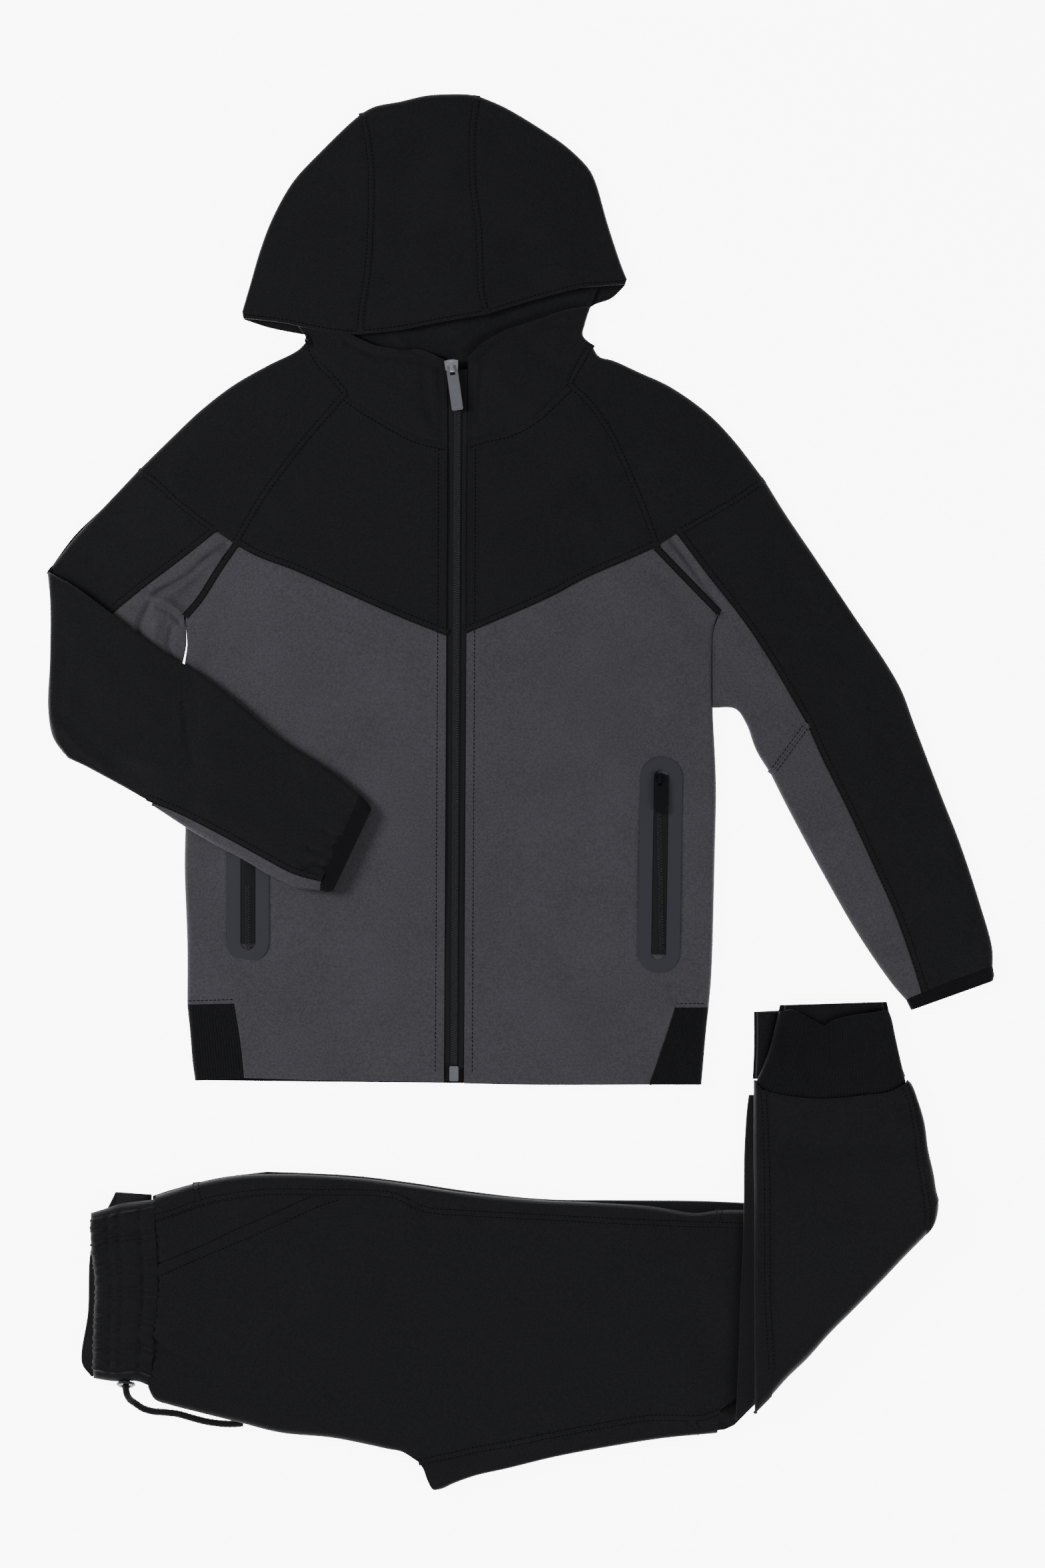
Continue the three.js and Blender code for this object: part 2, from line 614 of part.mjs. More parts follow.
addPiece('sleeve_right_forearm_back', clothWall(sheet({
  top: [[rail([-329, 20.4], [-342, 96], [-338, 155.4]), 6]],
  bottom: [[rail([-150.5, -74], [-137, -40], [-120, -3]), 6]],
  left: [[rail([-329, 20.4], [-301, 5], [-281, -6], [-252.5, -26], [-230.5, -39], [-208, -51],
    [-187.5, -63], [-167, -72],
    [-150.5, -74]), 9]],
  right: [[rail([-338, 155.4], [-334, 153.5], [-308, 134.5], [-271, 107], [-240, 88], [-211.5, 66],
    [-182, 40.5], [-145, 17],
    [-120, -3]), 9]],
  folds: { left: foldRadius, right: foldRadius },
  seams: ['bottom'],
  level: forearmBase,
  middle: (x, y) => forearmBase(x, y) + pairHeight / 2 - drapeGap / 2,
}), { facing: -1 }), 'black');

addPiece('cuff_right', cuffRing([
  [[-150, -74.5], [-119.4, -3.6]],
  [[-146, -75], [-115.5, -8]],
  [[-141, -74.5], [-112, -13]],
], forearmBase), 'rib');

// Collar fronts: the lower fronts of the hood, from the neck seam up to a free lip
addPiece('collar_right', clothWall(sheet({
  top: [[rail([-55.5, 323], [-71.5, 330], [-93, 332], [-110, 335], [-130, 344], [-150, 353],
    [-174, 357]), 11]],
  bottom: [[seams.right.collar, 8], [seams.right.neck, 3]],
  left: [[rail([-55.5, 323], zipEdge(-1, 261)), 4]],
  right: [[rail([-174, 357], [-160, 340]), 4]],
  folds: { right: 3 },
  seams: ['bottom'],
  level: jacketTop,
  middle: upperMiddle,
})), 'black');

addPiece('collar_left', clothWall(sheet({
  top: [[rail([-39.8, 326], [-29, 336.5], [-12, 346], [3, 351], [24.5, 358], [39, 362], [52, 364]), 11]],
  bottom: [[seams.left.collar, 8], [seams.left.neck, 3]],
  left: [[rail([-39.8, 326], zipEdge(1, 263)), 4]],
  right: [[rail([52, 364], [48, 351], [46.5, 343], [53, 336]), 4]],
  folds: { right: 3 },
  seams: ['bottom'],
  level: jacketTop,
  middle: upperMiddle,
})), 'black');

// Hood: three panels that go from the front hem over the crown and down behind to the neck
const hemLine = (x) => {
  if (x < -121) return THREE.MathUtils.mapLinear(x, -208, -121, 355, 343);
  if (x < -26) return THREE.MathUtils.mapLinear(x, -121, -26, 343, 358);
  return THREE.MathUtils.mapLinear(x, -26, 79, 358, 381);
};
const hemLift = 2.4;    // the front hem rides over the collar
const hoodFolds = [
  { x: -88, y: 430, angle: 78, length: 120, width: 14, height: -0.9 },
  { x: 20, y: 420, angle: -52, length: 110, width: 16, height: 0.9 },
  { x: -160, y: 400, angle: 60, length: 90, width: 14, height: 0.8 },
];
const hoodTop = (x, y) => {
  const liftHere = hemLift * (1 - smooth(y - hemLine(x), 14, 70));
  return pairHeight + liftHere + foldRelief(hoodFolds, x, y);
};
const hood = {
  rightSeam: rail([-121, 343], [-119, 365], [-115, 393], [-112.5, 461], [-114.5, 485], [-119.5, 510]),
  leftSeam: rail([-26, 358], [-30, 376], [-32, 423], [-36, 453], [-37, 491], [-33.5, 523]),
};
const hoodPanels = [
  {
    name: 'hood_side_right',
    hem: rail([-208.5, 355], [-181.5, 352], [-157, 347], [-135.5, 343.5], [-121, 343]),
    crown: rail([-209.5, 361], [-204, 380], [-195.5, 409], [-186, 433], [-171, 459], [-150.5, 481],
      [-129, 502],
      [-119.5, 510]),
    neck: rail([-208.5, 355], [-190, 349], [-176, 346], [-160, 343], [-134, 336], [-121, 334.5]),
    first: rail([-208.5, 355], [-209.5, 361]),
    last: hood.rightSeam,
    backLast: rail([-121, 334.5], [-115, 393], [-112.5, 461], [-114.5, 485], [-119.5, 510]),
  },
  {
    name: 'hood_center',
    hem: rail([-121, 343], [-93, 346], [-71.5, 350], [-50.5, 354], [-26, 358]),
    crown: rail([-119.5, 510], [-110, 514.8], [-91, 518.5], [-71.5, 523], [-57, 524], [-42, 524],
      [-33.5, 523]),
    neck: rail([-121, 334.5], [-75, 330.5], [-26, 330.5]),
    first: hood.rightSeam,
    backFirst: rail([-121, 334.5], [-115, 393], [-112.5, 461], [-114.5, 485], [-119.5, 510]),
    last: hood.leftSeam,
    backLast: rail([-26, 330.5], [-32, 423], [-36, 453], [-37, 491], [-33.5, 523]),
  },
  {
    name: 'hood_side_left',
    hem: rail([-26, 358], [-12, 362.5], [24.5, 373], [43.5, 377.5], [78, 380.5]),
    crown: rail([-33.5, 523], [-28, 521], [-11, 513.5], [21, 494], [35, 484], [51, 468], [56, 458],
      [65, 427], [75.5, 395],
      [79.5, 385]),
    neck: rail([-26, 330.5], [0, 331], [38, 336], [52, 364], [68, 371], [78, 380.5]),
    first: hood.leftSeam,
    backFirst: rail([-26, 330.5], [-32, 423], [-36, 453], [-37, 491], [-33.5, 523]),
    last: rail([78, 380.5], [79.5, 385]),
  },
];
hoodPanels.forEach(({ name, hem, crown, neck, first, last, backFirst = first, backLast = last }) => {
  const rows = name === 'hood_center' ? 5 : 7;
  addPiece(name, foldedPiece({
    top: [[first, 7]],
    bottom: [[last, 7]],
    backTop: [[backFirst, 7]],
    backBottom: [[backLast, 7]],
    front: [[hem, rows]],
    back: [[neck, rows]],
    fold: [[crown, rows]],
    edgeSeams: ['top', 'bottom'],
    inset: seamGap,
    level: hoodTop,
  }), 'black');
});

// Jersey lining seen between the front hem and the collar
const liningTop = 3.9;
const liningFolds = [{ x: -92, y: 340, angle: -55, length: 34, width: 5, height: 0.9 }];
addPiece('hood_lining', clothWall(sheet({
  top: [[rail([-150, 372], [-60, 392], [45, 392]), 8]],
  bottom: [[rail([-150, 346], [-110, 331], [-58, 317], [-38, 317], [0, 334], [42, 350]), 8]],
  left: [[rail([-150, 372], [-150, 346]), 4]],
  right: [[rail([45, 392], [42, 350]), 4]],
  level: (x, y) => liningTop + foldRelief(liningFolds, x, y),
}), { thickness: 1.5 }), 'jersey');

// Hem ribs: a corner of rib at each side of the front, and one band across the back
const ribDrop = 0.6;        // the rib is thinner than the cloth that it is sewn to
const ribRise = 0.45;
const ribRelief = (columns) => (i, j) => (j > 0 && j < columns && j % 2 === 1 ? ribRise : 0);

function addHemRib(name, line, foot, sideEdge) {
  const flats = 26;
  const grid = sheet({
    top: [[line.ribTop, flats]],
    bottom: [[foot, flats]],
    left: [[reversed(line.ribInner), 2]],
    right: [[sideEdge, 2]],
    folds: { right: foldRadius },
    seams: ['top', 'left'],
    level: () => pairHeight - ribDrop,
    middle: upperMiddle,
  });
  addPiece(`hem_rib_${name}`, clothWall(grid, { relief: ribRelief(flats) }), 'rib');
}
const ribSides = {
  right: rail([-251, -160], [-249, -179], [-247, -203], [-245, -217]),
  left: rail([141, -162], [139, -180], [137, -203], [135.5, -220]),
};
addHemRib('right', seams.right, rail([-208, -215], [-245, -217]), ribSides.right);
addHemRib('left', seams.left, rail([96, -220], [135.5, -220]), ribSides.left);
addPiece('hem_rib_back', clothWall(sheet({
  top: [[rail([-251, -160], [-55, -161], [141, -162]), 8]],
  bottom: [[rail([-245, -217], [-55, -219], [135.5, -220]), 8]],
  left: [[ribSides.right, 3]],
  right: [[ribSides.left, 3]],
  folds: { left: foldRadius, right: foldRadius },
  seams: ['top'],
  level: floorLevel,
  middle: lowerMiddle,
}), { facing: -1 }), 'rib');

// Front zip: a tape between the two fronts, with the closed coil raised along its middle
const tapeTop = 6.2;
const coilRise = 0.9;
const tapeHalfWidth = zipHalfWidth - seamGap;
const tapeColumns = [-1, -0.42, -0.34, 0, 0.34, 0.42, 1];
const tapeGrid = [317, 50, -217].map((y) => tapeColumns.map((place) => (
  new THREE.Vector3(zipLine(y) + place * tapeHalfWidth, y, tapeTop))));
const onCoil = (i, j) => (Math.abs(tapeColumns[j]) < 0.4 ? coilRise : 0);
addPiece('front_zip', clothWall(tapeGrid, { thickness: 1.2, relief: onCoil }), 'zipTape');

// Shapes for the zip hardware
function roundedBar(halfWidth, low, high, radius) {
  const shape = new THREE.Shape();
  shape.moveTo(-halfWidth + radius, low);
  shape.lineTo(halfWidth - radius, low);
  shape.absarc(halfWidth - radius, low + radius, radius, -Math.PI / 2, 0);
  shape.absarc(halfWidth - radius, high - radius, radius, 0, Math.PI / 2);
  shape.absarc(-halfWidth + radius, high - radius, radius, Math.PI / 2, Math.PI);
  shape.absarc(-halfWidth + radius, low + radius, radius, Math.PI, 1.5 * Math.PI);
  shape.closePath();
  return shape;
}

function plate(shape, thickness) {
  return new THREE.ExtrudeGeometry(shape, { depth: thickness, bevelEnabled: false, curveSegments: 3 });
}

// The pull tab turns on a bar that passes under the slider's bail. Sizes are for a slider 10.5 mm wide.
const barRadius = 0.7;
const bailHalfWidth = 1.35;
const bailReach = 4.2;          // from the bar to each end of the bail
const barHeight = 3.1;          // of the bar's centre above the underside of the slider
const sliderThickness = 2.0;
const bailTop = 5.4;

function sliderGeometry(scale) {
  const outline = new THREE.Shape();
  outline.moveTo(-5.2, 4.6);
  outline.quadraticCurveTo(0, 6.6, 5.2, 4.6);
  outline.lineTo(4.6, -2.4);
  outline.quadraticCurveTo(0, -6.8, -4.6, -2.4);
  outline.closePath();
  const body = plate(outline, sliderThickness);
  const bail = new THREE.Shape();
  bail.moveTo(-bailReach, sliderThickness - 0.5);
  bail.lineTo(-bailReach, barHeight + 1);
  bail.quadraticCurveTo(-bailReach, bailTop, -bailReach + 1.6, bailTop);
  bail.lineTo(bailReach - 1.6, bailTop);
  bail.quadraticCurveTo(bailReach, bailTop, bailReach, barHeight + 1);
  bail.lineTo(bailReach, sliderThickness - 0.5);
  bail.lineTo(bailReach - 1.1, sliderThickness - 0.5);
  bail.lineTo(bailReach - 1.1, barHeight + barRadius + 0.35);
  bail.lineTo(-bailReach + 1.1, barHeight + barRadius + 0.35);
  bail.lineTo(-bailReach + 1.1, sliderThickness - 0.5);
  bail.closePath();
  const arch = plate(bail, 2 * bailHalfWidth);
  // The bail is drawn across the page: its length goes along Y and its height along Z.
  arch.applyMatrix4(new THREE.Matrix4().makeBasis(
    new THREE.Vector3(0, 1, 0), new THREE.Vector3(0, 0, 1), new THREE.Vector3(1, 0, 0)));
  arch.translate(-bailHalfWidth, 0, 0);
  const geometry = joined(body, arch);
  geometry.scale(scale, scale, scale);
  return geometry;
}

// The tab hangs from its bar at the origin and lies along -Y.
function pullTabGeometry(halfWidth, length, thickness, scale) {
  const armGap = (bailHalfWidth + 0.6) * scale;
  const armHalfWidth = Math.min(halfWidth, armGap + 1.4 * scale);
  const windowEnd = -(bailReach + 2.2) * scale;
  const shoulder = 0.7 * windowEnd;
  const shape = new THREE.Shape();
  shape.moveTo(-armHalfWidth, barRadius * scale);
  shape.lineTo(-halfWidth, shoulder);
  shape.lineTo(-halfWidth, -length + 0.8);
  shape.lineTo(-halfWidth + 0.8, -length);
  shape.lineTo(halfWidth - 0.8, -length);
  shape.lineTo(halfWidth, -length + 0.8);
  shape.lineTo(halfWidth, shoulder);
  shape.lineTo(armHalfWidth, barRadius * scale);
  shape.closePath();
  const opening = new THREE.Path();
  opening.moveTo(-armGap, -barRadius * scale);
  opening.lineTo(armGap, -barRadius * scale);
  opening.lineTo(armGap, windowEnd);
  opening.lineTo(-armGap, windowEnd);
  shape.holes.push(opening);
  const geometry = plate(shape, thickness);
  geometry.translate(0, 0, -thickness / 2);
  return geometry;
}

const frontSliderBase = tapeTop + coilRise + restGap;
const frontSlider = { x: -52.2, y: 318.5, base: frontSliderBase, turn: 8, bodyTurn: 4, scale: 1 };

function addSlider(name, place, finish) {
  const mesh = addPiece(name, sliderGeometry(place.scale), finish);
  mesh.position.set(place.x, place.y, place.base);
  mesh.rotation.z = THREE.MathUtils.degToRad(place.bodyTurn ?? 0);
}
function addPullTab(name, place, size, finish) {
  const geometry = pullTabGeometry(size.halfWidth, size.length, size.thickness, place.scale);
  const mesh = addPiece(name, geometry, finish);
  mesh.position.set(place.x, place.y, place.base + barHeight * place.scale);
  mesh.rotation.z = THREE.MathUtils.degToRad(place.turn);
}
addSlider('front_slider', frontSlider, 'silver');
addPullTab('front_pull_tab', frontSlider, { halfWidth: 4.25, length: 33, thickness: 1.3 }, 'gunmetal');

const zipBox = addPiece('front_zip_box', plate(roundedBar(3.4, -5.6, 5.6, 1), 1.8), 'gunmetal');
zipBox.position.set(zipLine(-211.5), -211.5, tapeTop + coilRise + restGap);

// Zipped pockets: a bonded film with a slot, and the zip tape in the slot
const filmThickness = 0.6;
const pockets = {
  left: { x: 104.2, y: -55, turn: 1 },
  right: { x: -205, y: -47, turn: 0 },
};
const pocketTapeHalf = { width: 5.25, length: 71 };
const slotMargin = 0.4;
function addPocket(name, place) {
  const film = roundedBar(15.7, -81, 81, 15.6);
  const slot = roundedBar(pocketTapeHalf.width + slotMargin, -pocketTapeHalf.length - slotMargin,
    pocketTapeHalf.length + slotMargin, pocketTapeHalf.width + slotMargin - 0.05);
  film.holes.push(new THREE.Path(slot.getPoints(3).reverse()));
  const patch = addPiece(`pocket_film_${name}`, plate(film, filmThickness), 'film');
  const columns = [-1, -0.4, 0, 0.4, 1];
  const tape = [pocketTapeHalf.length - 4, -pocketTapeHalf.length + 4].map((y) => columns.map((part) => (
    new THREE.Vector3(part * pocketTapeHalf.width * 0.96, y, 0.5))));
  const zip = addPiece(`pocket_zip_${name}`,
    clothWall(tape, { thickness: 0.5, relief: (i, j) => (Math.abs(columns[j]) < 0.5 ? 0.5 : 0) }), 'zipTape');
  for (const mesh of [patch, zip]) {
    mesh.position.set(place.x, place.y, pairHeight + restGap);
    mesh.rotation.z = THREE.MathUtils.degToRad(-place.turn);
  }
}
addPocket('right', pockets.right);
addPocket('left', pockets.left);
const pocketZipTop = pairHeight + restGap + 1.0;
const pocketSlider = { x: 103.8, y: 9.5, base: pocketZipTop + restGap, turn: 1.5, scale: 0.8 };
addSlider('pocket_slider_left', pocketSlider, 'gunmetal');
addPullTab('pocket_pull_tab_left', pocketSlider, { halfWidth: 3.9, length: 25, thickness: 1.1 }, 'gunmetal');

// Trousers: folded in half along the front, laid on their side, with both lower legs folded up over the
// thighs
const thighHeight = 11.6;       // four layers of cloth
const layerStep = 5.6;          // top of the two lower layers
const slabHeight = 9.2;         // top of the hidden layers, under the top panel
const bandHeight = 14;          // the waistband holds elastic and is thicker
const bandLift = 1.6;           // the gathered cloth next to the waistband
const legFoldMiddle = 6.3;      // height that the top two layers fold round to

const legFolds = [
  { x: -262, y: -421, angle: 27, length: 44, width: 7, height: -1.5 },
  { x: -246, y: -380, angle: 8, length: 60, width: 9, height: 0.9 },
  { x: -225, y: -452, angle: -14, length: 70, width: 8, height: 0.8 },
  { x: -68, y: -486, angle: 38, length: 80, width: 9, height: 1.1 },
  { x: 108, y: -346, angle: -108, length: 52, width: 6, height: 1.0 },
  { x: 10, y: -400, angle: -6, length: 220, width: 20, height: 0.8 },
];
function legTop(x, y) {
  const gathered = bandLift * (1 - smooth(x, -276, -236));
  return thighHeight + gathered + foldRelief(legFolds, x, y);
}

// Seams and edges of the thigh, from the waistband to where the shins cover it
const thigh = {
  topEdge: rail([-274, -303], [-261, -299], [-244, -294], [-211, -288], [-175, -287], [-121, -290],
    [-81, -295],
    [-41, -301], [15, -306.5], [48.5, -308], [97, -311], [130.5, -316], [149, -314], [192, -314]),
  sideStart: rail([-275.5, -319], [-261, -315], [-245, -309], [-225, -304], [-205, -301],
    [-185, -299.5], [-150, -300]),
  sideSeam: rail([-150, -300], [-131, -300], [-105, -301], [-93, -303], [-81, -309], [-71, -313],
    [-33.5, -316],
    [3.5, -318], [41, -320], [78.5, -322], [106.5, -323], [134.5, -324], [192, -325.5]),
  pocketMouth: rail([-272.5, -354], [-241, -341], [-211, -327], [-181, -314], [-150, -300]),
  facingEnd: rail([-275.5, -319], [-272.5, -354]),
  bandSeam: rail([-280, -447], [-277, -432], [-275, -416], [-276, -406], [-273, -386], [-272.5, -354]),
  frontFold: rail([-280, -447], [-275, -456], [-264, -460], [-241, -466], [-213, -473], [-181, -481],
    [-141, -485],
    [-101, -493], [-89, -495], [-77, -502]),
  inseam: rail([-77, -502], [-52.5, -497], [-30, -492], [-11, -489], [22.5, -482], [59.5, -475],
    [97, -469], [115.5, -469],
    [134.5, -469], [149, -464]),
  crotch: rail([-77, -502], [-73.5, -507], [-71, -514], [-67, -522], [-64, -524]),
  lowerEdge: rail([-64, -524], [-59, -523], [-50.5, -519], [-33.5, -513], [-11, -508], [26, -499],
    [69, -491], [108, -485],
    [147, -481.3]),
};

addPiece('left_leg_front', clothWall(sheet({
  top: [[thigh.bandSeam, 6]],
  bottom: [[rail([149, -464], [174, -440], [192, -325.5]), 6]],
  left: [[thigh.frontFold, 6], [thigh.inseam, 6]],
  right: [[thigh.pocketMouth, 4], [thigh.sideSeam, 8]],
  folds: { left: foldRadius },
  foldRows: { left: [0, 5] },
  seams: ['top', 'left', 'right'],
  level: legTop,
  middle: () => legFoldMiddle,
})), 'black');

addPiece('left_pocket_facing', clothWall(sheet({
  top: [[rail([-275.5, -319], [-272.5, -354]), 3]],
  bottom: [[rail([-157, -299.6], [-156, -302.6]), 3]],
  left: [[rail([-275.5, -319], [-261, -315], [-245, -309], [-225, -304], [-205, -301], [-185, -299.5],
    [-157, -299.6]), 5]],
  right: [[rail([-272.5, -354], [-241, -341], [-211, -327], [-181, -314], [-156, -302.6]), 5]],
  seams: ['top', 'left', 'right'],
  level: (x, y) => legTop(x, y) - 0.5,
}), { thickness: 1.4 }), 'black');

addPiece('left_leg_side', clothWall(sheet({
  top: [[thigh.topEdge, 13]],
  bottom: [[thigh.sideStart, 5], [thigh.sideSeam, 8]],
  left: [[rail([-274, -303], [-275.5, -319]), 1]],
  right: [[rail([192, -314], [192, -325.5]), 1]],
  folds: { top: foldRadius },
  seams: ['left', 'bottom'],
  level: legTop,
  middle: () => legFoldMiddle,
})), 'black');

addPiece('left_leg_inseam', clothWall(sheet({
  top: [[thigh.inseam, 6]],
  bottom: [[thigh.lowerEdge, 6]],
  left: [[thigh.crotch, 2]],
  right: [[rail([149, -464], [147, -481.3]), 2]],
  folds: { bottom: foldRadius },
  seams: ['top'],
  level: legTop,
  middle: () => legFoldMiddle,
})), 'black');

// Hidden layers as one solid with a layered edge on both sides. Each rail is [lower layers, upper layers],
// both as lists of [rail, steps]. The two lower layers reach the outline, and the two upper ones may lie
// further in.
function layeredSlab({ sideA, sideB, low = () => 0, step = layerStep, height = slabHeight, rise = [] }) {
  const lowerA = runAlong(sideA.lower, 0, 0);
  const upperA = runAlong(sideA.upper, 0, 0);
  const lowerB = runAlong(sideB.lower, 0, 0);
  const upperB = runAlong(sideB.upper, 0, 0);
  // One side of a section, from the bottom: how far in from the outline, and what part of the step's height
  const edgeProfile = [
    { inward: 1.4, part: 0 },
    { inward: 0.1, part: 0.22 },
    { inward: 1.0, part: 0.5 },
    { inward: 0, part: 0.76 },
    { inward: 1.2, part: 1 },
  ];
  const sections = lowerA.map((a, i) => {
    const b = lowerB[i];
    const inward = b.clone().sub(a).normalize();
    const lifted = (z) => z + (rise[i] ?? 0) * (height - z);
    const side = (edge, upper, direction) => [
      ...edgeProfile.map(({ inward: depth, part }) => [
        edge.clone().addScaledVector(direction, depth), lifted(part * step)]),
      [upper.clone(), lifted(step + 0.1)],
      [upper.clone().addScaledVector(direction, 0.6), height],
    ];
    const points = [
      ...side(a, upperA[i], inward),
      ...side(b, upperB[i], inward.clone().negate()).reverse(),
    ];
    return points.map(([place, z]) => new THREE.Vector3(place.x, place.y, z + low(place.x, place.y)));
  });
  const count = sections[0].length;
  const faces = [];
  for (let i = 0; i + 1 < sections.length; i += 1) {
    for (let k = 0; k < count; k += 1) {
      const next = (k + 1) % count;
      const [a, b] = [i * count + k, i * count + next];
      faces.push(a, b, b + count, a, b + count, a + count);
    }
  }
  const cap = (section) => {
    const [start, end] = [section[0], section[count - 1]];
    const along = new THREE.Vector2(end.x - start.x, end.y - start.y).normalize();
    const flat = section.map((point) => (
      new THREE.Vector2((point.x - start.x) * along.x + (point.y - start.y) * along.y, point.z)));
    return THREE.ShapeUtils.triangulateShape(flat, []);
  };
  const last = (sections.length - 1) * count;
  cap(sections[0]).forEach(([a, b, c]) => faces.push(a, b, c));
  cap(sections[sections.length - 1]).forEach(([a, b, c]) => faces.push(last + a, last + c, last + b));
  const geometry = new THREE.BufferGeometry();
  const coordinates = sections.flat().flatMap((p) => [p.x, p.y, p.z]);
  geometry.setAttribute('position', new THREE.Float32BufferAttribute(coordinates, 3));
  // Sections that follow each other towards the left of A to B turn the faces the other way round.
  const [first, second] = [lowerA[0].clone().lerp(lowerB[0], 0.5), lowerA[1].clone().lerp(lowerB[1], 0.5)];
  const across = lowerB[0].clone().sub(lowerA[0]);
  if (across.cross(second.sub(first)).z < 0) faces.reverse();
  return geometry.setIndex(faces);
}

// The thighs' hidden layers end in the diagonal fold, where their underside rounds up.
const slabEdges = {
  lower: rail([-279.5, -448], [-264, -459.5], [-241, -465.5], [-229, -468]),
  cordDent: rail([-229, -468], [-216, -466], [-203, -468], [-192, -477]),
  lowerOn: rail([-192, -477], [-161, -482.5], [-121, -488.5], [-89, -494.5], [-73.5, -506], [-64, -523],
    [-50.5, -518.5],
    [-11, -507.5], [26, -498.5], [69, -490.5], [108, -484.5], [153, -479]),
  lowerInner: rail([-279, -441], [-264, -453], [-241, -459.5], [-229, -462]),
  dentInner: rail([-229, -462], [-203, -467], [-192, -471]),
  lowerInnerOn: rail([-192, -471], [-161, -476.5], [-121, -482.5], [-89, -488.5], [-73.5, -498],
    [-64, -516], [-50.5, -513],
    [-11, -502], [26, -493], [69, -485], [108, -479], [147, -468]),
  upper: rail([-276.7, -303.5], [-261, -298.5], [-229, -290.5], [-191, -285.5]),
  upperOn: rail([-191, -285.5], [-151, -287], [-121, -289], [-81, -294], [-41, -300], [15, -306],
    [78.5, -307],
    [149, -308], [230, -314], [295, -324]),
  upperInner: rail([-276.7, -308], [-261, -303], [-229, -295], [-191, -291.5]),
  upperInnerOn: rail([-191, -291.5], [-121, -294.5], [-81, -299.5], [-41, -305.5], [15, -311],
    [48.5, -312.5],
    [97, -315.5], [130.5, -320.5], [149, -318.5], [230, -320], [288, -328]),
};
const diagonalRise = new Array(13).fill(0).concat([0, 0.14, 0.5, 0.8]);
addPiece('legs_hidden_layers', layeredSlab({
  rise: diagonalRise,
  sideA: {
    lower: [[slabEdges.lower, 2], [slabEdges.cordDent, 3], [slabEdges.lowerOn, 9], [rail([153, -479],
      [160, -475]), 2]],
    upper: [[slabEdges.lowerInner, 2], [slabEdges.dentInner, 3], [slabEdges.lowerInnerOn, 9],
      [rail([147, -468], [151, -461]), 2]],
  },
  sideB: {
    lower: [[slabEdges.upper, 3], [slabEdges.upperOn, 11], [rail([295, -324], [302, -333]), 2]],
    upper: [[slabEdges.upperInner, 3], [slabEdges.upperInnerOn, 11], [rail([288, -328], [296, -337]), 2]],
  },
}), 'black');

// Waistband: the front half gathered on two rows of elastic, over the back half
const bandGathers = 20;
const bandRows = 2 * bandGathers;
const gatherRise = 1.1;
const channelPart = [0, 0.5, 1, 0.25, 1, 0.25, 0.6];
const bandTop = (x, y) => bandHeight - 1.2 * smooth(x, -292, -277);
const band = sheet({
  top: [[rail([-323, -316], [-310, -312], [-301, -309], [-285, -307], [-276.5, -306]), 4]],
  bottom: [[rail([-321, -440], [-305, -442.3], [-288, -442.3], [-280.5, -445]), 4]],
  left: [[rail([-323, -316], [-322, -340], [-319, -369], [-320, -398], [-321, -440]), bandRows]],
  right: [[rail([-276.5, -306], [-275.5, -319], [-272.5, -354], [-273, -386], [-276, -406],
    [-275, -416], [-277, -432],
    [-280.5, -445]), bandRows]],
  folds: { left: foldRadius, top: foldRadius, bottom: 6 },
  seams: ['right'],
  inset: 0.6,
  level: bandTop,
  middle: () => 7.6,
});
addPiece('waistband_front', clothWall(band, {
  relief: (i, j) => {
    const row = i - quarterSteps;
    const raised = row > 0 && row < bandRows && row % 2 === 1;
    return raised ? gatherRise * channelPart[j] * (0.8 + 0.25 * Math.sin(2.1 * row)) : 0;
  },
}), 'black');

addPiece('waistband_back', layeredSlab({
  step: 6.8,
  height: 10.3,
  sideA: {
    lower: [[rail([-305, -301], [-322.5, -340], [-325.5, -391], [-330, -429], [-323, -439]), 8]],
    upper: [[rail([-303, -317], [-317, -340], [-314.5, -369], [-315.5, -398], [-316, -434]), 8]],
  },
  sideB: {
    lower: [[rail([-277.6, -303], [-278.2, -340], [-279.2, -386], [-281.5, -416], [-285, -440]), 8]],
    upper: [[rail([-283, -314], [-281, -354], [-281.5, -386], [-283, -416], [-287, -434]), 8]],
  },
}), 'black');

// Eyelet in the band's lower edge, facing forwards and up, and the end of the drawcord that comes out of it
const cordRadius = 2.65;
const eyelet = { x: -296.5, y: -444, z: 7.5, tilt: 60, hole: 3.3, outer: 7.2, thickness: 1.5 };
const eyeletProfile = [
  new THREE.Vector2(eyelet.hole, 0.3),
  new THREE.Vector2(eyelet.outer, 0.3),
  new THREE.Vector2(eyelet.outer, 0.8),
  new THREE.Vector2(eyelet.outer - 1.4, 0.3 + eyelet.thickness),
  new THREE.Vector2(eyelet.hole + 0.9, 0.3 + eyelet.thickness),
  new THREE.Vector2(eyelet.hole, 0.9),
  new THREE.Vector2(eyelet.hole, 0.3),
];
const eyeletRing = addPiece('eyelet', new THREE.LatheGeometry(eyeletProfile, 16), 'gunmetal');
// The lathe turns about Y, which is laid along the eyelet's axis.
eyeletRing.rotation.x = THREE.MathUtils.degToRad(90 + eyelet.tilt);
eyeletRing.position.set(eyelet.x, eyelet.y, eyelet.z);

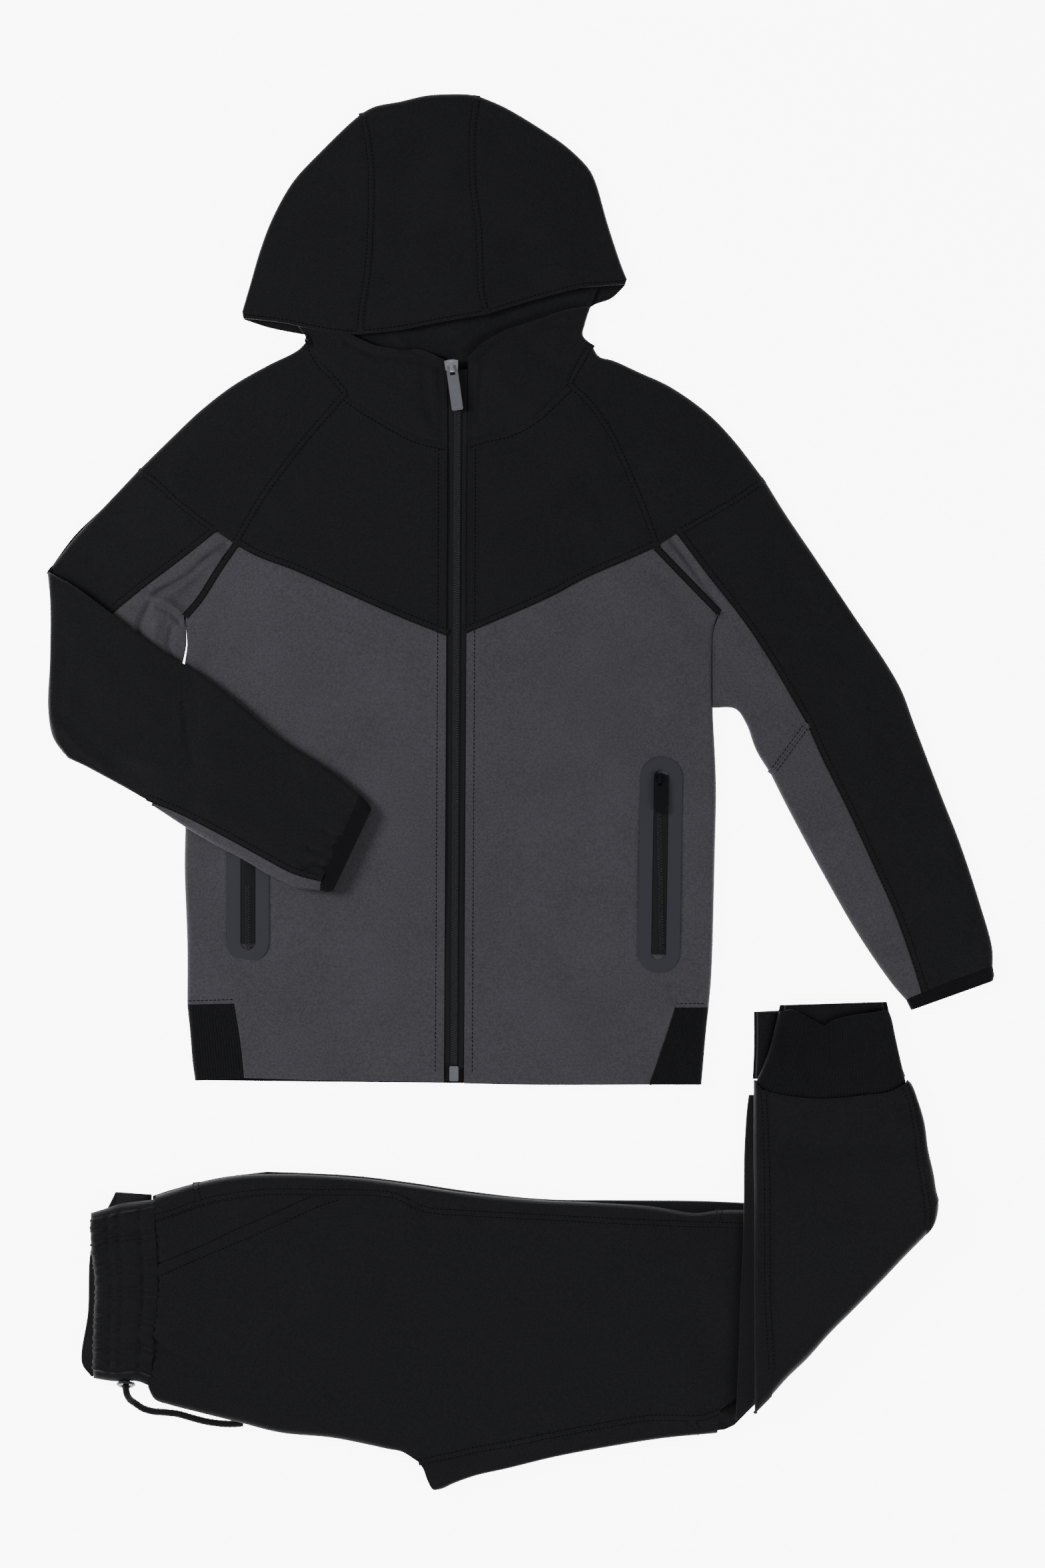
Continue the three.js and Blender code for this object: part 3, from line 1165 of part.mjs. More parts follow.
const cordRoute = [
  [-296.5, -444.4, 7.7], [-296.4, -447.4, 9.2], [-295.6, -451.8, 9.0], [-293.6, -456.4, 5.6],
  [-290, -459.6, 3.1],
  [-284.5, -463.3, 2.95], [-277, -465.6, 2.95], [-268, -466.4, 2.95], [-258, -467.6, 2.95],
  [-248, -470.4, 2.95],
  [-238, -473, 2.95], [-228, -474.6, 2.95], [-218, -475.2, 2.95], [-209, -474.6, 2.95],
];
const cordPlaces = cordRoute.map((place) => new THREE.Vector3(...place));
const cordCurve = new THREE.CatmullRomCurve3(cordPlaces, false, 'centripetal');
const cordSection = new THREE.Shape();
for (let k = 0; k < 8; k += 1) {
  const turn = (k / 8) * 2 * Math.PI;
  const place = [cordRadius * Math.cos(turn), cordRadius * Math.sin(turn)];
  if (k === 0) cordSection.moveTo(...place);
  else cordSection.lineTo(...place);
}
addPiece('drawcord', new THREE.ExtrudeGeometry(cordSection, { steps: 14, extrudePath: cordCurve }), 'cord');

// Shins: folded up over the thighs along a diagonal, with the left leg on top
const shinBase = (x, y) => (thighHeight + restGap) * (1 - smooth(y, -308, -262));
const shinFolds = [
  { x: 262, y: -352, angle: -44, length: 90, width: 9, height: 0.9 },
  { x: 214, y: -262, angle: 76, length: 70, width: 9, height: -0.8 },
  { x: 300, y: -312, angle: -50, length: 26, width: 5, height: 0.9 },
];
const shinTop = (x, y) => shinBase(x, y) + thighHeight + foldRelief(shinFolds, x, y);
const shinMiddle = (x, y) => shinBase(x, y) + legFoldMiddle;
// The diagonal fold turns through the whole height of the shins, where x - y is over this
const diagonalStart = 618;
const shinFoot = (x, y) => (x - y > diagonalStart ? shinBase(x, y) + 0.4 : shinMiddle(x, y));
const shin = {
  leftSeam: rail([181.5, -223.6], [183.5, -263], [183.5, -333], [184, -380], [186, -415], [187.5, -452]),
  rightSeam: rail([287, -219.5], [292.5, -233], [296, -251], [298, -268], [300.5, -291], [303, -310],
    [303, -332]),
  cuffSeam: rail([181.5, -223.6], [195.5, -227], [209.5, -229], [223.5, -230], [242.5, -229],
    [258.5, -227], [275, -225],
    [287, -219.5]),
  diagonal: rail([187.5, -452], [199, -439], [214.5, -424], [230.5, -406], [249.5, -387], [269, -367],
    [289, -346],
    [303, -332]),
  innerEdge: rail([174.5, -216.4], [174, -300], [174, -380], [174.5, -465]),
  outerEdge: rail([290, -216], [293, -219], [298.5, -233], [303, -249], [305.5, -268], [309, -286],
    [310.5, -298],
    [312.5, -307], [311.5, -317], [309, -324], [304.5, -330.5]),
};
addPiece('left_shin_front', clothWall(sheet({
  top: [[shin.cuffSeam, 8]],
  bottom: [[shin.diagonal, 8]],
  left: [[shin.leftSeam, 9]],
  right: [[shin.rightSeam, 9]],
  folds: { bottom: 9 },
  seams: ['top', 'left', 'right'],
  inset: 0.3,
  level: shinTop,
  middle: shinFoot,
})), 'black');
addPiece('left_shin_side_inner', clothWall(sheet({
  top: [[rail([174.5, -216.4], [181.5, -223.6]), 1]],
  bottom: [[rail([174.5, -465], [187.5, -452]), 1]],
  left: [[shin.innerEdge, 9]],
  right: [[shin.leftSeam, 9]],
  folds: { left: foldRadius, bottom: 9 },
  seams: ['top', 'right'],
  inset: 0.35,
  level: shinTop,
  middle: shinMiddle,
})), 'black');
addPiece('left_shin_side_outer', clothWall(sheet({
  top: [[rail([287, -219.5], [290, -216]), 1]],
  bottom: [[rail([303, -332], [304.5, -330.5]), 1]],
  left: [[shin.rightSeam, 9]],
  right: [[shin.outerEdge, 9]],
  folds: { right: foldRadius, bottom: 9 },
  seams: ['top', 'left'],
  level: shinTop,
  middle: shinFoot,
})), 'black');

addPiece('shins_hidden_layers', layeredSlab({
  low: shinBase,
  step: 5.0,
  height: 7.6,
  sideA: {
    lower: [[rail([171, -228], [169.5, -240], [168, -263], [167, -286], [166.5, -307], [166, -333],
      [164, -380],
      [162.5, -426], [160.5, -470]), 11]],
    upper: [[rail([178, -228], [177.5, -300], [177.5, -380], [177.8, -455]), 11]],
  },
  sideB: {
    lower: [[rail([289, -224], [295.5, -240], [300.5, -262], [304, -282], [306, -296], [307, -310],
      [304, -322],
      [290, -338], [264, -365], [225, -404], [169, -461]), 11]],
    upper: [[rail([284, -226], [290, -242], [294, -262], [296.5, -282], [298.5, -300], [298, -318],
      [286, -333],
      [258, -361], [220, -399], [184, -440]), 11]],
  },
}), 'black');

// Ankle cuffs: rib knit, narrower than the leg and lying on the surface. The front layer's end dips in a V.
const cuffHeight = 9.2;
const ribCount = 32;
const ankle = {
  frontEnd: rail([193.5, -165], [202.5, -163.5], [209.5, -166], [219, -171], [228.5, -175],
    [234, -171.5], [247, -168],
    [261, -166], [275.5, -163.5]),
  legSeam: rail([174.5, -216.4], [184, -224], [195.5, -227], [209.5, -229], [223.5, -230],
    [242.5, -229], [258.5, -227],
    [275, -225], [284.5, -221.5], [290, -216]),
  inner: rail([193.5, -165], [190, -179], [186.5, -193], [181.5, -206], [174.5, -216.4]),
  outer: rail([275.5, -163.5], [278, -170], [281, -184], [284.5, -200], [290, -216]),
};
addPiece('ankle_cuff_left_front', clothWall(sheet({
  top: [[ankle.frontEnd, 2 * ribCount]],
  bottom: [[ankle.legSeam, 2 * ribCount]],
  left: [[ankle.inner, 2]],
  right: [[ankle.outer, 2]],
  folds: { left: foldRadius, right: foldRadius },
  seams: ['bottom'],
  inset: 1.1,
  level: (x, y) => cuffHeight + (thighHeight - cuffHeight) * (1 - smooth(y, -226, -205)),
  middle: () => layerStep + 0.4,
}), { relief: (i, j) => (j > 1 && j < 2 * ribCount && j % 2 === 1 ? ribRise : 0) }), 'rib');
addPiece('ankle_cuff_left_back', layeredSlab({
  step: 3.4,
  height: 6.6,
  sideA: {
    lower: [[rail([194.5, -160.5], [190.5, -179], [187, -193], [182, -206], [175.5, -214]), 3]],
    upper: [[rail([198, -160.5], [194, -179], [190.5, -193], [185.5, -206], [181, -216]), 3]],
  },
  sideB: {
    lower: [[rail([275, -158], [277.5, -170], [280.5, -184], [284, -200], [289, -214]), 3]],
    upper: [[rail([271.5, -158], [274, -170], [277, -184], [280.5, -200], [284.5, -215]), 3]],
  },
}), 'rib');
// The other cuff shows as a corner beside the upper one.
addPiece('ankle_cuff_right', layeredSlab({
  step: 2.6,
  height: 5.4,
  sideA: {
    lower: [[rail([175, -165.5], [175, -193], [174, -207]), 3]],
    upper: [[rail([177, -166], [177, -193], [176, -206]), 3]],
  },
  sideB: {
    lower: [[rail([191.5, -164.5], [185, -193], [180, -206]), 3]],
    upper: [[rail([189.5, -165.5], [183, -193], [178, -205]), 3]],
  },
}), 'rib');

export default tracksuit;
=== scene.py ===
# %% [markdown]
# This lesson dresses a child's tracksuit, a zip hoodie and jogger trousers, laid flat on a table. The
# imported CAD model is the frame: it gives each piece's place, and the cloth here is a finer version of the
# same panels, with seams, stitches, zip coil, rib knit and the soft creases of clothes that are laid out by
# hand.

# %% Load the frame
import math

import bpy
import numpy as np
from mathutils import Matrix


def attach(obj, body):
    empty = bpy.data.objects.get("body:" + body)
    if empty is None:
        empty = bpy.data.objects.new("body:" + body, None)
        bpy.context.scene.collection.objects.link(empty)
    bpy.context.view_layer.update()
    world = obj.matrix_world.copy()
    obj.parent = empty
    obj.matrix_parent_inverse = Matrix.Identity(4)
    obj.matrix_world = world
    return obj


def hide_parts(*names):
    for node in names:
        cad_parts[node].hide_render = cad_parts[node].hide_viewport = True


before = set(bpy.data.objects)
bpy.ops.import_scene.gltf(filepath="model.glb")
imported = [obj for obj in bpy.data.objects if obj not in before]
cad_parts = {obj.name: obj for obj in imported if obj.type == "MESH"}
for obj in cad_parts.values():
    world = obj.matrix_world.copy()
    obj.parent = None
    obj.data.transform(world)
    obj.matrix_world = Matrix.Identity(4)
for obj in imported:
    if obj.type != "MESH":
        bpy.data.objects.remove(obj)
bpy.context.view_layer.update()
MM = 0.001
SHARP_DEGREES = 50

# %% [markdown]
# The photo looks straight down, so the camera hangs high above the cloth with a long lens. The picture is
# 784 mm wide on the table and 1176 mm high, and its centre lies just off the origin.

# %% Camera
SENSOR = 36
PICTURE_HEIGHT, PICTURE_CENTRE = 1.176, (0.001, 0.00575)
CAMERA_HEIGHT, CLOTH_HEIGHT = 2.6, 0.008
camera_data = bpy.data.cameras.new("camera")
camera_data.sensor_width = SENSOR
camera_data.sensor_fit = "VERTICAL"
camera_data.sensor_height = SENSOR
camera_data.lens = SENSOR * CAMERA_HEIGHT / PICTURE_HEIGHT
camera_data.clip_end = 20
camera = bpy.data.objects.new("camera", camera_data)
camera.location = (*PICTURE_CENTRE, CAMERA_HEIGHT + CLOTH_HEIGHT)
bpy.context.scene.collection.objects.link(camera)
bpy.context.scene.camera = camera

# %% [markdown]
# A node tree is easier to read when each node is one call. This helper makes a node, sets its values and
# joins its inputs, and the colour function turns the hex values that a designer writes into the linear ones
# Blender wants.

# %% Node and colour helpers
def node(tree, kind, settings=None, **inputs):
    made = tree.nodes.new(kind)
    for name, value in (settings or {}).items():
        setattr(made, name, value)
    for name, value in inputs.items():
        key = int(name[1:]) if name[0] == "i" and name[1:].isdigit() else name.replace("_", " ")
        socket = made.inputs[key]
        if isinstance(value, bpy.types.NodeSocket):
            tree.links.new(value, socket)
        else:
            socket.default_value = value
    return made


def linear(hex_colour):
    parts = [int(hex_colour[k:k + 2], 16) / 255 for k in (1, 3, 5)]
    return [c / 12.92 if c <= 0.04045 else ((c + 0.055) / 1.055) ** 2.4 for c in parts] + [1.0]


def new_material(name):
    material = bpy.data.materials.new(name)
    material.use_nodes = True
    tree = material.node_tree
    tree.nodes.clear()
    return material, tree, node(tree, "ShaderNodeTexCoord").outputs["Object"]


def add_shader(tree, specular=None, **inputs):
    shader = node(tree, "ShaderNodeBsdfPrincipled", **inputs)
    if specular is not None:
        shader.inputs["Specular IOR Level"].default_value = specular
    node(tree, "ShaderNodeOutputMaterial", Surface=shader.outputs["BSDF"])

# %% [markdown]
# The main cloth is a smooth double knit of polyester, matt and slightly heathered. Its surface shows tiny
# wales about 0.9 mm apart, drawn a little coarser here so that they show, and a faint colour change from
# yarn to yarn.

# %% Double-knit cloth
def knit_material(name, dark, light, wale_mm, bump_mm, roughness, sheen):
    material, tree, place = new_material(name)
    yarn = node(tree, "ShaderNodeTexNoise", Vector=place, Scale=650.0, Detail=2.0)
    patch = node(tree, "ShaderNodeTexNoise", Vector=place, Scale=22.0, Detail=3.0)
    mottle = node(tree, "ShaderNodeMath", {"operation": "MULTIPLY_ADD"}, i0=patch.outputs["Fac"], i1=0.35,
                  i2=yarn.outputs["Fac"])
    tone = node(tree, "ShaderNodeMapRange", Value=mottle.outputs["Value"], From_Min=0.45, From_Max=0.95)
    colour = node(tree, "ShaderNodeMix", {"data_type": "RGBA"}, Factor=tone.outputs["Result"])
    colour.inputs[6].default_value = linear(dark)
    colour.inputs[7].default_value = linear(light)
    wales, courses = [
        node(tree, "ShaderNodeTexWave", {"bands_direction": way, "wave_profile": "SIN"}, Vector=place,
             Scale=math.pi * 2 / (wale_mm * MM * 20), Distortion=1.2, Detail=1.0,
             Detail_Scale=3.0) for way in "XY"]
    both = node(tree, "ShaderNodeMath", {"operation": "MULTIPLY"}, i0=wales.outputs["Fac"],
                i1=courses.outputs["Fac"])
    bump = node(tree, "ShaderNodeBump", Strength=0.5, Distance=bump_mm * MM, Height=both.outputs["Value"])
    add_shader(tree, 0.12, Base_Color=colour.outputs[2], Roughness=roughness, Normal=bump.outputs["Normal"],
               Sheen_Weight=sheen, Sheen_Roughness=0.6)
    return material


black_knit = knit_material("black_double_knit", "#0a0a0c", "#121214", 1.3, 0.25, 0.92, 0.03)
grey_knit = knit_material("grey_double_knit", "#302f33", "#3c3b40", 1.3, 0.25, 0.92, 0.03)
rib_yarn = knit_material("rib_knit", "#08080b", "#101013", 1.2, 0.2, 0.95, 0.02)
binding_knit = knit_material("binding_knit", "#040406", "#0a0a0c", 1.2, 0.2, 0.95, 0.02)
lining_jersey = knit_material("lining_jersey", "#0c0c0f", "#151518", 1.1, 0.2, 0.95, 0.02)

# %% [markdown]
# The trims have harder surfaces: a thin bonded film frames the pockets, the zip tape is a dense weave with
# a nylon coil, the sewing thread has a slight shine, and the metal is cast zinc, plated bright or dark.

# %% Trim materials
def trim_material(name, colour, roughness, metallic=0.0, grain_mm=0.8, bump_mm=0.05, specular=0.15):
    material, tree, place = new_material(name)
    grain = node(tree, "ShaderNodeTexNoise", Vector=place, Scale=1 / (grain_mm * MM), Detail=3.0)
    shine = node(tree, "ShaderNodeMapRange", Value=grain.outputs["Fac"], To_Min=roughness * 0.85,
                 To_Max=min(1, roughness * 1.15))
    bump = node(tree, "ShaderNodeBump", Strength=0.4, Distance=bump_mm * MM, Height=grain.outputs["Fac"])
    add_shader(tree, specular, Base_Color=linear(colour), Roughness=shine.outputs["Result"],
               Metallic=metallic,
               Normal=bump.outputs["Normal"])
    return material


pocket_film = trim_material("bonded_film", "#292a2f", 0.6, bump_mm=0.03)
zip_tape = trim_material("woven_zip_tape", "#121215", 0.9, grain_mm=0.5, bump_mm=0.1)
zip_coil = trim_material("nylon_coil", "#1a1a1e", 0.5, specular=0.3)
sewing_thread = trim_material("sewing_thread", "#050506", 0.8, specular=0.05)
dark_metal = trim_material("gunmetal_plate", "#7e8086", 0.38, metallic=0.9, grain_mm=2, bump_mm=0.02,
                           specular=0.5)
pocket_metal = trim_material("dark_gunmetal", "#1c1d20", 0.4, metallic=0.8, grain_mm=2, bump_mm=0.02)
bright_metal = trim_material("bright_zinc_plate", "#c2c4c9", 0.22, metallic=1.0, grain_mm=3, bump_mm=0.01)
cord_braid = trim_material("braided_cord", "#0b0b0d", 0.85, grain_mm=0.7, bump_mm=0.2)
print("materials:", len(bpy.data.materials))

# %% [markdown]
# Every piece of cloth, the cord and the small shapes start as places in millimetres and the faces between
# them.

# %% A piece from places and faces
def add_piece(name, places, faces, material=None, sharp_edges=False):
    mesh = bpy.data.meshes.new(name)
    mesh.from_pydata((np.asarray(places) * MM).tolist(), [], faces)
    mesh.update()
    mesh.shade_smooth()
    if sharp_edges:
        mesh.set_sharp_from_angle(angle=math.radians(SHARP_DEGREES))
    if material:
        mesh.materials.append(material)
    piece = bpy.data.objects.new(name, mesh)
    bpy.context.scene.collection.objects.link(piece)
    return piece


def ride_set(piece):
    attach(piece, "set")

# %% [markdown]
# The panels are drawn the way a pattern cutter draws them: smooth rails through a few places, in
# millimetres on the table. A sheet fills the space between four rails, and its folded edges round down
# towards the layer below.

# %% Rails and steps
SEAM_GAP = 0.04
PAIR_HEIGHT = 7.2
FOLD_RADIUS = 4
QUARTER_STEPS = 6
RAIL_STEPS = 24
FOLD_SHARE = 0.45
SIDES = ("right", "left")


def rail(*places):
    points = np.array(places, float)
    ends = np.vstack([2 * points[0] - points[1], points, 2 * points[-1] - points[-2]])
    t = np.linspace(0, 1, RAIL_STEPS, endpoint=False)[:, None]
    line = []
    for p0, p1, p2, p3 in zip(ends, ends[1:], ends[2:], ends[3:]):
        a, b, c = [max(np.linalg.norm(q - p), 1e-6) ** 0.5 for p, q in ((p0, p1), (p1, p2), (p2, p3))]
        start = ((p1 - p0) / a - (p2 - p0) / (a + b) + (p2 - p1) / b) * b
        end = ((p2 - p1) / b - (p3 - p1) / (b + c) + (p3 - p2) / c) * b
        line.append((2 * t**3 - 3 * t**2 + 1) * p1 + (t**3 - 2 * t**2 + t) * start
                    + (3 * t**2 - 2 * t**3) * p2 + (t**3 - t**2) * end)
    return np.vstack([*line, points[-1:]])


def running_length(line):
    return np.concatenate([[0], np.cumsum(np.linalg.norm(np.diff(line, axis=0), axis=1))])


def edge_steps(length, flats, start_fold, end_fold):
    start, end = min(start_fold, FOLD_SHARE * length), min(end_fold, FOLD_SHARE * length)
    quarter = 1 - np.cos(np.linspace(0, math.pi / 2, QUARTER_STEPS + 1)[:-1])
    first = start * quarter if start_fold else []
    last = length - end * quarter[::-1] if end_fold else []
    return np.concatenate([first, np.linspace(start, length - end, flats + 1), last])


def edge_heights(count, start_fold, end_fold):
    kept = np.ones(count)
    quarter = np.sin(np.linspace(0, math.pi / 2, QUARTER_STEPS + 1)[:-1])
    if start_fold:
        kept[:QUARTER_STEPS] = quarter
    if end_fold:
        kept[-QUARTER_STEPS:] = quarter[::-1]
    return kept


def at_length(line, steps):
    run = running_length(line)
    return np.stack([np.interp(steps, run, line[:, k]) for k in (0, 1)], axis=1)


def run_along(parts, fine, start_fold=0, end_fold=0):
    points = []
    for index, (line, flats) in enumerate(parts):
        first = start_fold if index == 0 else 0
        last = end_fold if index == len(parts) - 1 else 0
        steps = edge_steps(running_length(line)[-1], flats * fine, first, last)
        points.append(at_length(line, steps if index == 0 else steps[1:]))
    return np.vstack(points)


def smooth(value, low, high):
    t = np.clip((value - low) / (high - low), 0, 1)
    return t * t * (3 - 2 * t)

# %% [markdown]
# A crease in knitted cloth isn't a sharp line. Each one here is a soft ridge or trough that fades at both
# ends. The rows of a table are placed where the photo shows them, and unevenly where it doesn't show the side
# at all.

# %% Creases
def fold_relief(table, x, y):
    total = np.zeros_like(x, dtype=float)
    for fold_x, fold_y, angle, length, width, height in table:
        turn = math.radians(angle)
        along = (x - fold_x) * math.cos(turn) + (y - fold_y) * math.sin(turn)
        across = -(x - fold_x) * math.sin(turn) + (y - fold_y) * math.cos(turn)
        total += height * np.exp(-((2 * along / length) ** 4) - (across / width) ** 2)
    return total


def distance_to(places, x, y):
    """How far each point is from a drawn line."""
    points = np.array(places, float)
    nearest = np.full(np.shape(x), 1e9)
    for (x0, y0), (x1, y1) in zip(points, points[1:]):
        length = (x1 - x0) ** 2 + (y1 - y0) ** 2
        part = np.clip(((x - x0) * (x1 - x0) + (y - y0) * (y1 - y0)) / length, 0, 1)
        nearest = np.minimum(nearest, np.hypot(x - x0 - part * (x1 - x0), y - y0 - part * (y1 - y0)))
    return nearest


def drawn_relief(table, x, y):
    """Creases that bend: each row is a line of places, its width and its height, all in millimetres."""
    return sum(height * np.exp(-(distance_to(places, x, y) / width) ** 2) for places, width, height in table)


def ripple(x, y, size):
    """Slow, uneven waves of a hand-laid cloth, in millimetres."""
    return size * (np.sin(x / 31 + 0.7 * np.sin(y / 47)) * np.sin(y / 38 + 0.5 * np.sin(x / 29))
                   + 0.5 * np.sin(x / 17 + y / 23 + 1.3))

# %% [markdown]
# The sheet itself blends its four edges across the space between them, which sewing books call a ruled
# patch. Rows that are sewn to a neighbour stop just short of it and dip a little, as cloth does when a seam
# pulls it down.

# %% A sheet of cloth between four rails
def inset_edge(grid, side, distance):
    lines = {"top": (grid[0], grid[1]), "bottom": (grid[-1], grid[-2]),
             "left": (grid[:, 0], grid[:, 1]), "right": (grid[:, -1], grid[:, -2])}
    edge, inner = lines[side]
    run = np.vstack([edge[1:2] - edge[0:1], edge[2:] - edge[:-2], edge[-1:] - edge[-2:-1]])[:, :2]
    across = np.stack([-run[:, 1], run[:, 0]], axis=1)
    across /= np.maximum(np.linalg.norm(across, axis=1), 1e-9)[:, None]
    facing = np.sign(np.sum(across * (inner - edge)[:, :2], axis=1))[:, None]
    edge[:, :2] += across * facing * distance


def sheet(top, bottom, left, right, level, middle=lambda x, y: 0 * x + PAIR_HEIGHT / 2, folds=None,
          fold_rows=None,
          seams=(), inset=SEAM_GAP / 2, fine=(4, 4), dip=0.55):
    folds = folds or {}
    fold_left, fold_right = folds.get("left", 0), folds.get("right", 0)
    fold_top, fold_bottom = folds.get("top", 0), folds.get("bottom", 0)
    across, down = fine
    top_run = run_along(top, across, fold_left, fold_right)
    bottom_run = run_along(bottom, across, fold_left, fold_right)
    left_run = run_along(left, down, fold_top, fold_bottom)
    right_run = run_along(right, down, fold_top, fold_bottom)
    flats = sum(part[1] for part in top) * across
    rows, columns = len(left_run), len(top_run)
    left_reach = running_length(left_run) / running_length(left_run)[-1]
    right_reach = running_length(right_run) / running_length(right_run)[-1]
    widths = np.linalg.norm(right_run - left_run, axis=1)
    v = np.stack([edge_steps(w, flats, fold_left, fold_right) / w for w in widths])
    u = (1 - v) * left_reach[:, None] + v * right_reach[:, None]
    u3, v3 = u[..., None], v[..., None]
    left_line, right_line = left_run[:, None], right_run[:, None]
    plane = ((1 - u3) * top_run[None] + u3 * bottom_run[None] + (1 - v3) * left_line + v3 * right_line
             - (1 - u3) * (1 - v3) * top_run[0] - (1 - u3) * v3 * top_run[-1]
             - u3 * (1 - v3) * bottom_run[0] - u3 * v3 * bottom_run[-1])
    grid = np.concatenate([plane, np.zeros((rows, columns, 1))], axis=2)
    for side in seams:
        inset_edge(grid, side, inset)
    column_kept = edge_heights(columns, fold_left, fold_right)
    row_kept = edge_heights(rows, fold_top, fold_bottom)
    flat_row = (np.arange(rows) - (QUARTER_STEPS if fold_top else 0)) / down
    kept = np.tile(column_kept, (rows, 1))
    for side, (none_at, full_at) in (fold_rows or {}).items():
        part = smooth(flat_row, *sorted((none_at, full_at)))
        part = part if full_at > none_at else 1 - part
        half = slice(0, columns // 2) if side == "left" else slice(columns // 2, columns)
        kept[:, half] = 1 + (column_kept[half][None] - 1) * part[:, None]
    kept = kept * row_kept[:, None]
    x, y = grid[..., 0], grid[..., 1]
    centre = middle(x, y)
    grid[..., 2] = centre + (level(x, y) - centre) * kept
    seam_dip = {"top": grid[0], "bottom": grid[-1], "left": grid[:, 0], "right": grid[:, -1]}
    up = 1 if np.mean(level(x, y) - centre) >= 0 else 0
    for side in seams:
        seam_dip[side][:, 2] -= dip * up
    return grid, kept < 1e-6

# %% [markdown]
# A sheet becomes cloth when it gets a thickness: every point is copied inwards along the surface, and the
# rim is closed, so each panel is one watertight piece. Ribs and gathers only raise the outside, over a
# plain inside.

# %% From a sheet to a wall of cloth
def grid_normals(grid, outline, loops):
    if loops:
        across = np.roll(grid, -1, axis=1) - np.roll(grid, 1, axis=1)
    else:
        across = np.gradient(grid, axis=1)
    normal = np.cross(across, np.gradient(grid, axis=0))
    if outline is not None:
        normal[..., 2][outline] = 0
    return normal / np.maximum(np.linalg.norm(normal, axis=2), 1e-9)[..., None]


def wall(name, grid, outline=None, thickness=2.0, facing=1, loops=False, relief=None):
    normals = grid_normals(grid, outline, loops)
    rows, columns = grid.shape[:2]
    turned = np.sum(normals[:, :(columns + 1) // 2, 2]) * facing < 0
    sign = -1 if turned else 1
    outer = grid + (sign * normals * relief[..., None] if relief is not None else 0)
    inner = grid - sign * normals * thickness
    places = np.concatenate([outer.reshape(-1, 3), inner.reshape(-1, 3)])
    index = np.arange(rows * columns).reshape(rows, columns)
    right = np.roll(index, -1, axis=1) if loops else index[:, 1:]
    here = index if loops else index[:, :-1]
    a, b, c, d = here[:-1], right[:-1], right[1:], here[1:]
    shift = rows * columns
    faces = [np.stack([a, b, c, d], -1).reshape(-1, 4), np.stack([a, d, c, b], -1).reshape(-1, 4) + shift]
    rims = [(here[0], right[0]), (right[-1], here[-1])]
    if not loops:
        rims += [(index[:-1, -1], index[1:, -1]), (index[1:, 0], index[:-1, 0])]
    for p, q in rims:
        faces.append(np.stack([q, p, p + shift, q + shift], -1))
    faces = np.concatenate(faces)
    if turned:
        faces = faces[:, ::-1]
    return add_piece(name, places, faces.tolist(), sharp_edges=True)

# %% [markdown]
# Every panel hides the CAD node that it replaces, rides on the set and prints the size that it was cut to.
# What it rests on is passed in too, but not used. Of the panels, left_leg_side alone has about a tenth less.

# %% Dressing a CAD node with cloth
BLACK, GREY, RIB, LINING = "black_double_knit", "grey_double_knit", "rib_knit", "lining_jersey"
SMALLEST_SHARE = 0.31
SLOTS = {BLACK: black_knit, GREY: grey_knit, RIB: rib_yarn, LINING: lining_jersey}


def cut_size(grid):
    across = np.linalg.norm(np.diff(grid, axis=1), axis=2).sum(axis=1).max()
    along = np.linalg.norm(np.diff(grid, axis=0), axis=2).sum(axis=0).max()
    first, second = grid[1:, 1:] - grid[:-1, :-1], grid[1:, :-1] - grid[:-1, 1:]
    area = 0.5 * np.linalg.norm(np.cross(first, second), axis=2).sum()
    return across * MM, along * MM, area * MM * MM


def dress(piece, node_name, slot, grid, turned_in=0, knit=None):
    """turned_in is the extra length, in metres, of a binding that turns round the edge of the cloth."""
    width, length, area = cut_size(grid)
    length += turned_in
    area += turned_in * width
    area = min(max(area, SMALLEST_SHARE * width * length), width * length)
    piece.data.materials.append(knit or SLOTS[slot])
    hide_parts(node_name)
    ride_set(piece)
    print(f"{node_name}: cut {width * 1000:.0f} x {length * 1000:.0f} mm, {len(piece.data.polygons)} faces")


def panel(name, slot, held, rests_on, made, **shape):
    """A sheet with its outline becomes the cloth of the CAD node of that name."""
    grid, outline = made
    dress(wall(f"cloth_{name}", grid, outline, **shape), name, slot, grid)

# %% [markdown]
# The drawcord leaves its eyelet, drops to the table and lies along the edge of the leg until it slips under
# it. It is a braided tube, 5.3 mm thick, so its braided relief follows the tube's own length.

# %% Drawcord
CORD_RADIUS, CORD_STEPS, CORD_SIDES = 2.65, 180, 24
BRAID_RELIEF, BRAID_PITCH, BRAID_STRANDS = 0.14, 2.2, 6
cord_route = np.array([
    (-296.5, -444.4, 7.7), (-296.4, -447.4, 9.2), (-295.6, -451.8, 9.0), (-293.6, -456.4, 5.6),
    (-290, -459.6, 3.1), (-284.5, -463.3, 2.95), (-277, -465.6, 2.95), (-268, -466.4, 2.95),
    (-258, -467.6, 2.95), (-248, -470.4, 2.95),
    (-238, -473, 2.95), (-228, -474.6, 2.95), (-218, -475.2, 2.95), (-209, -474.6, 2.95)])
cord_line = rail(*cord_route)
cord_run = running_length(cord_line)
cord_length = cord_run[-1]
cord_steps = np.linspace(0, cord_length, CORD_STEPS)
cord_path = np.stack([np.interp(cord_steps, cord_run, cord_line[:, k]) for k in range(3)], axis=1)
cord_way = np.gradient(cord_path, axis=0)
cord_way /= np.linalg.norm(cord_way, axis=1)[:, None]
cord_side = np.cross(cord_way, [0, 0, 1.0])
cord_side /= np.linalg.norm(cord_side, axis=1)[:, None]
cord_up = np.cross(cord_side, cord_way)
turns = np.linspace(0, 2 * math.pi, CORD_SIDES, endpoint=False)
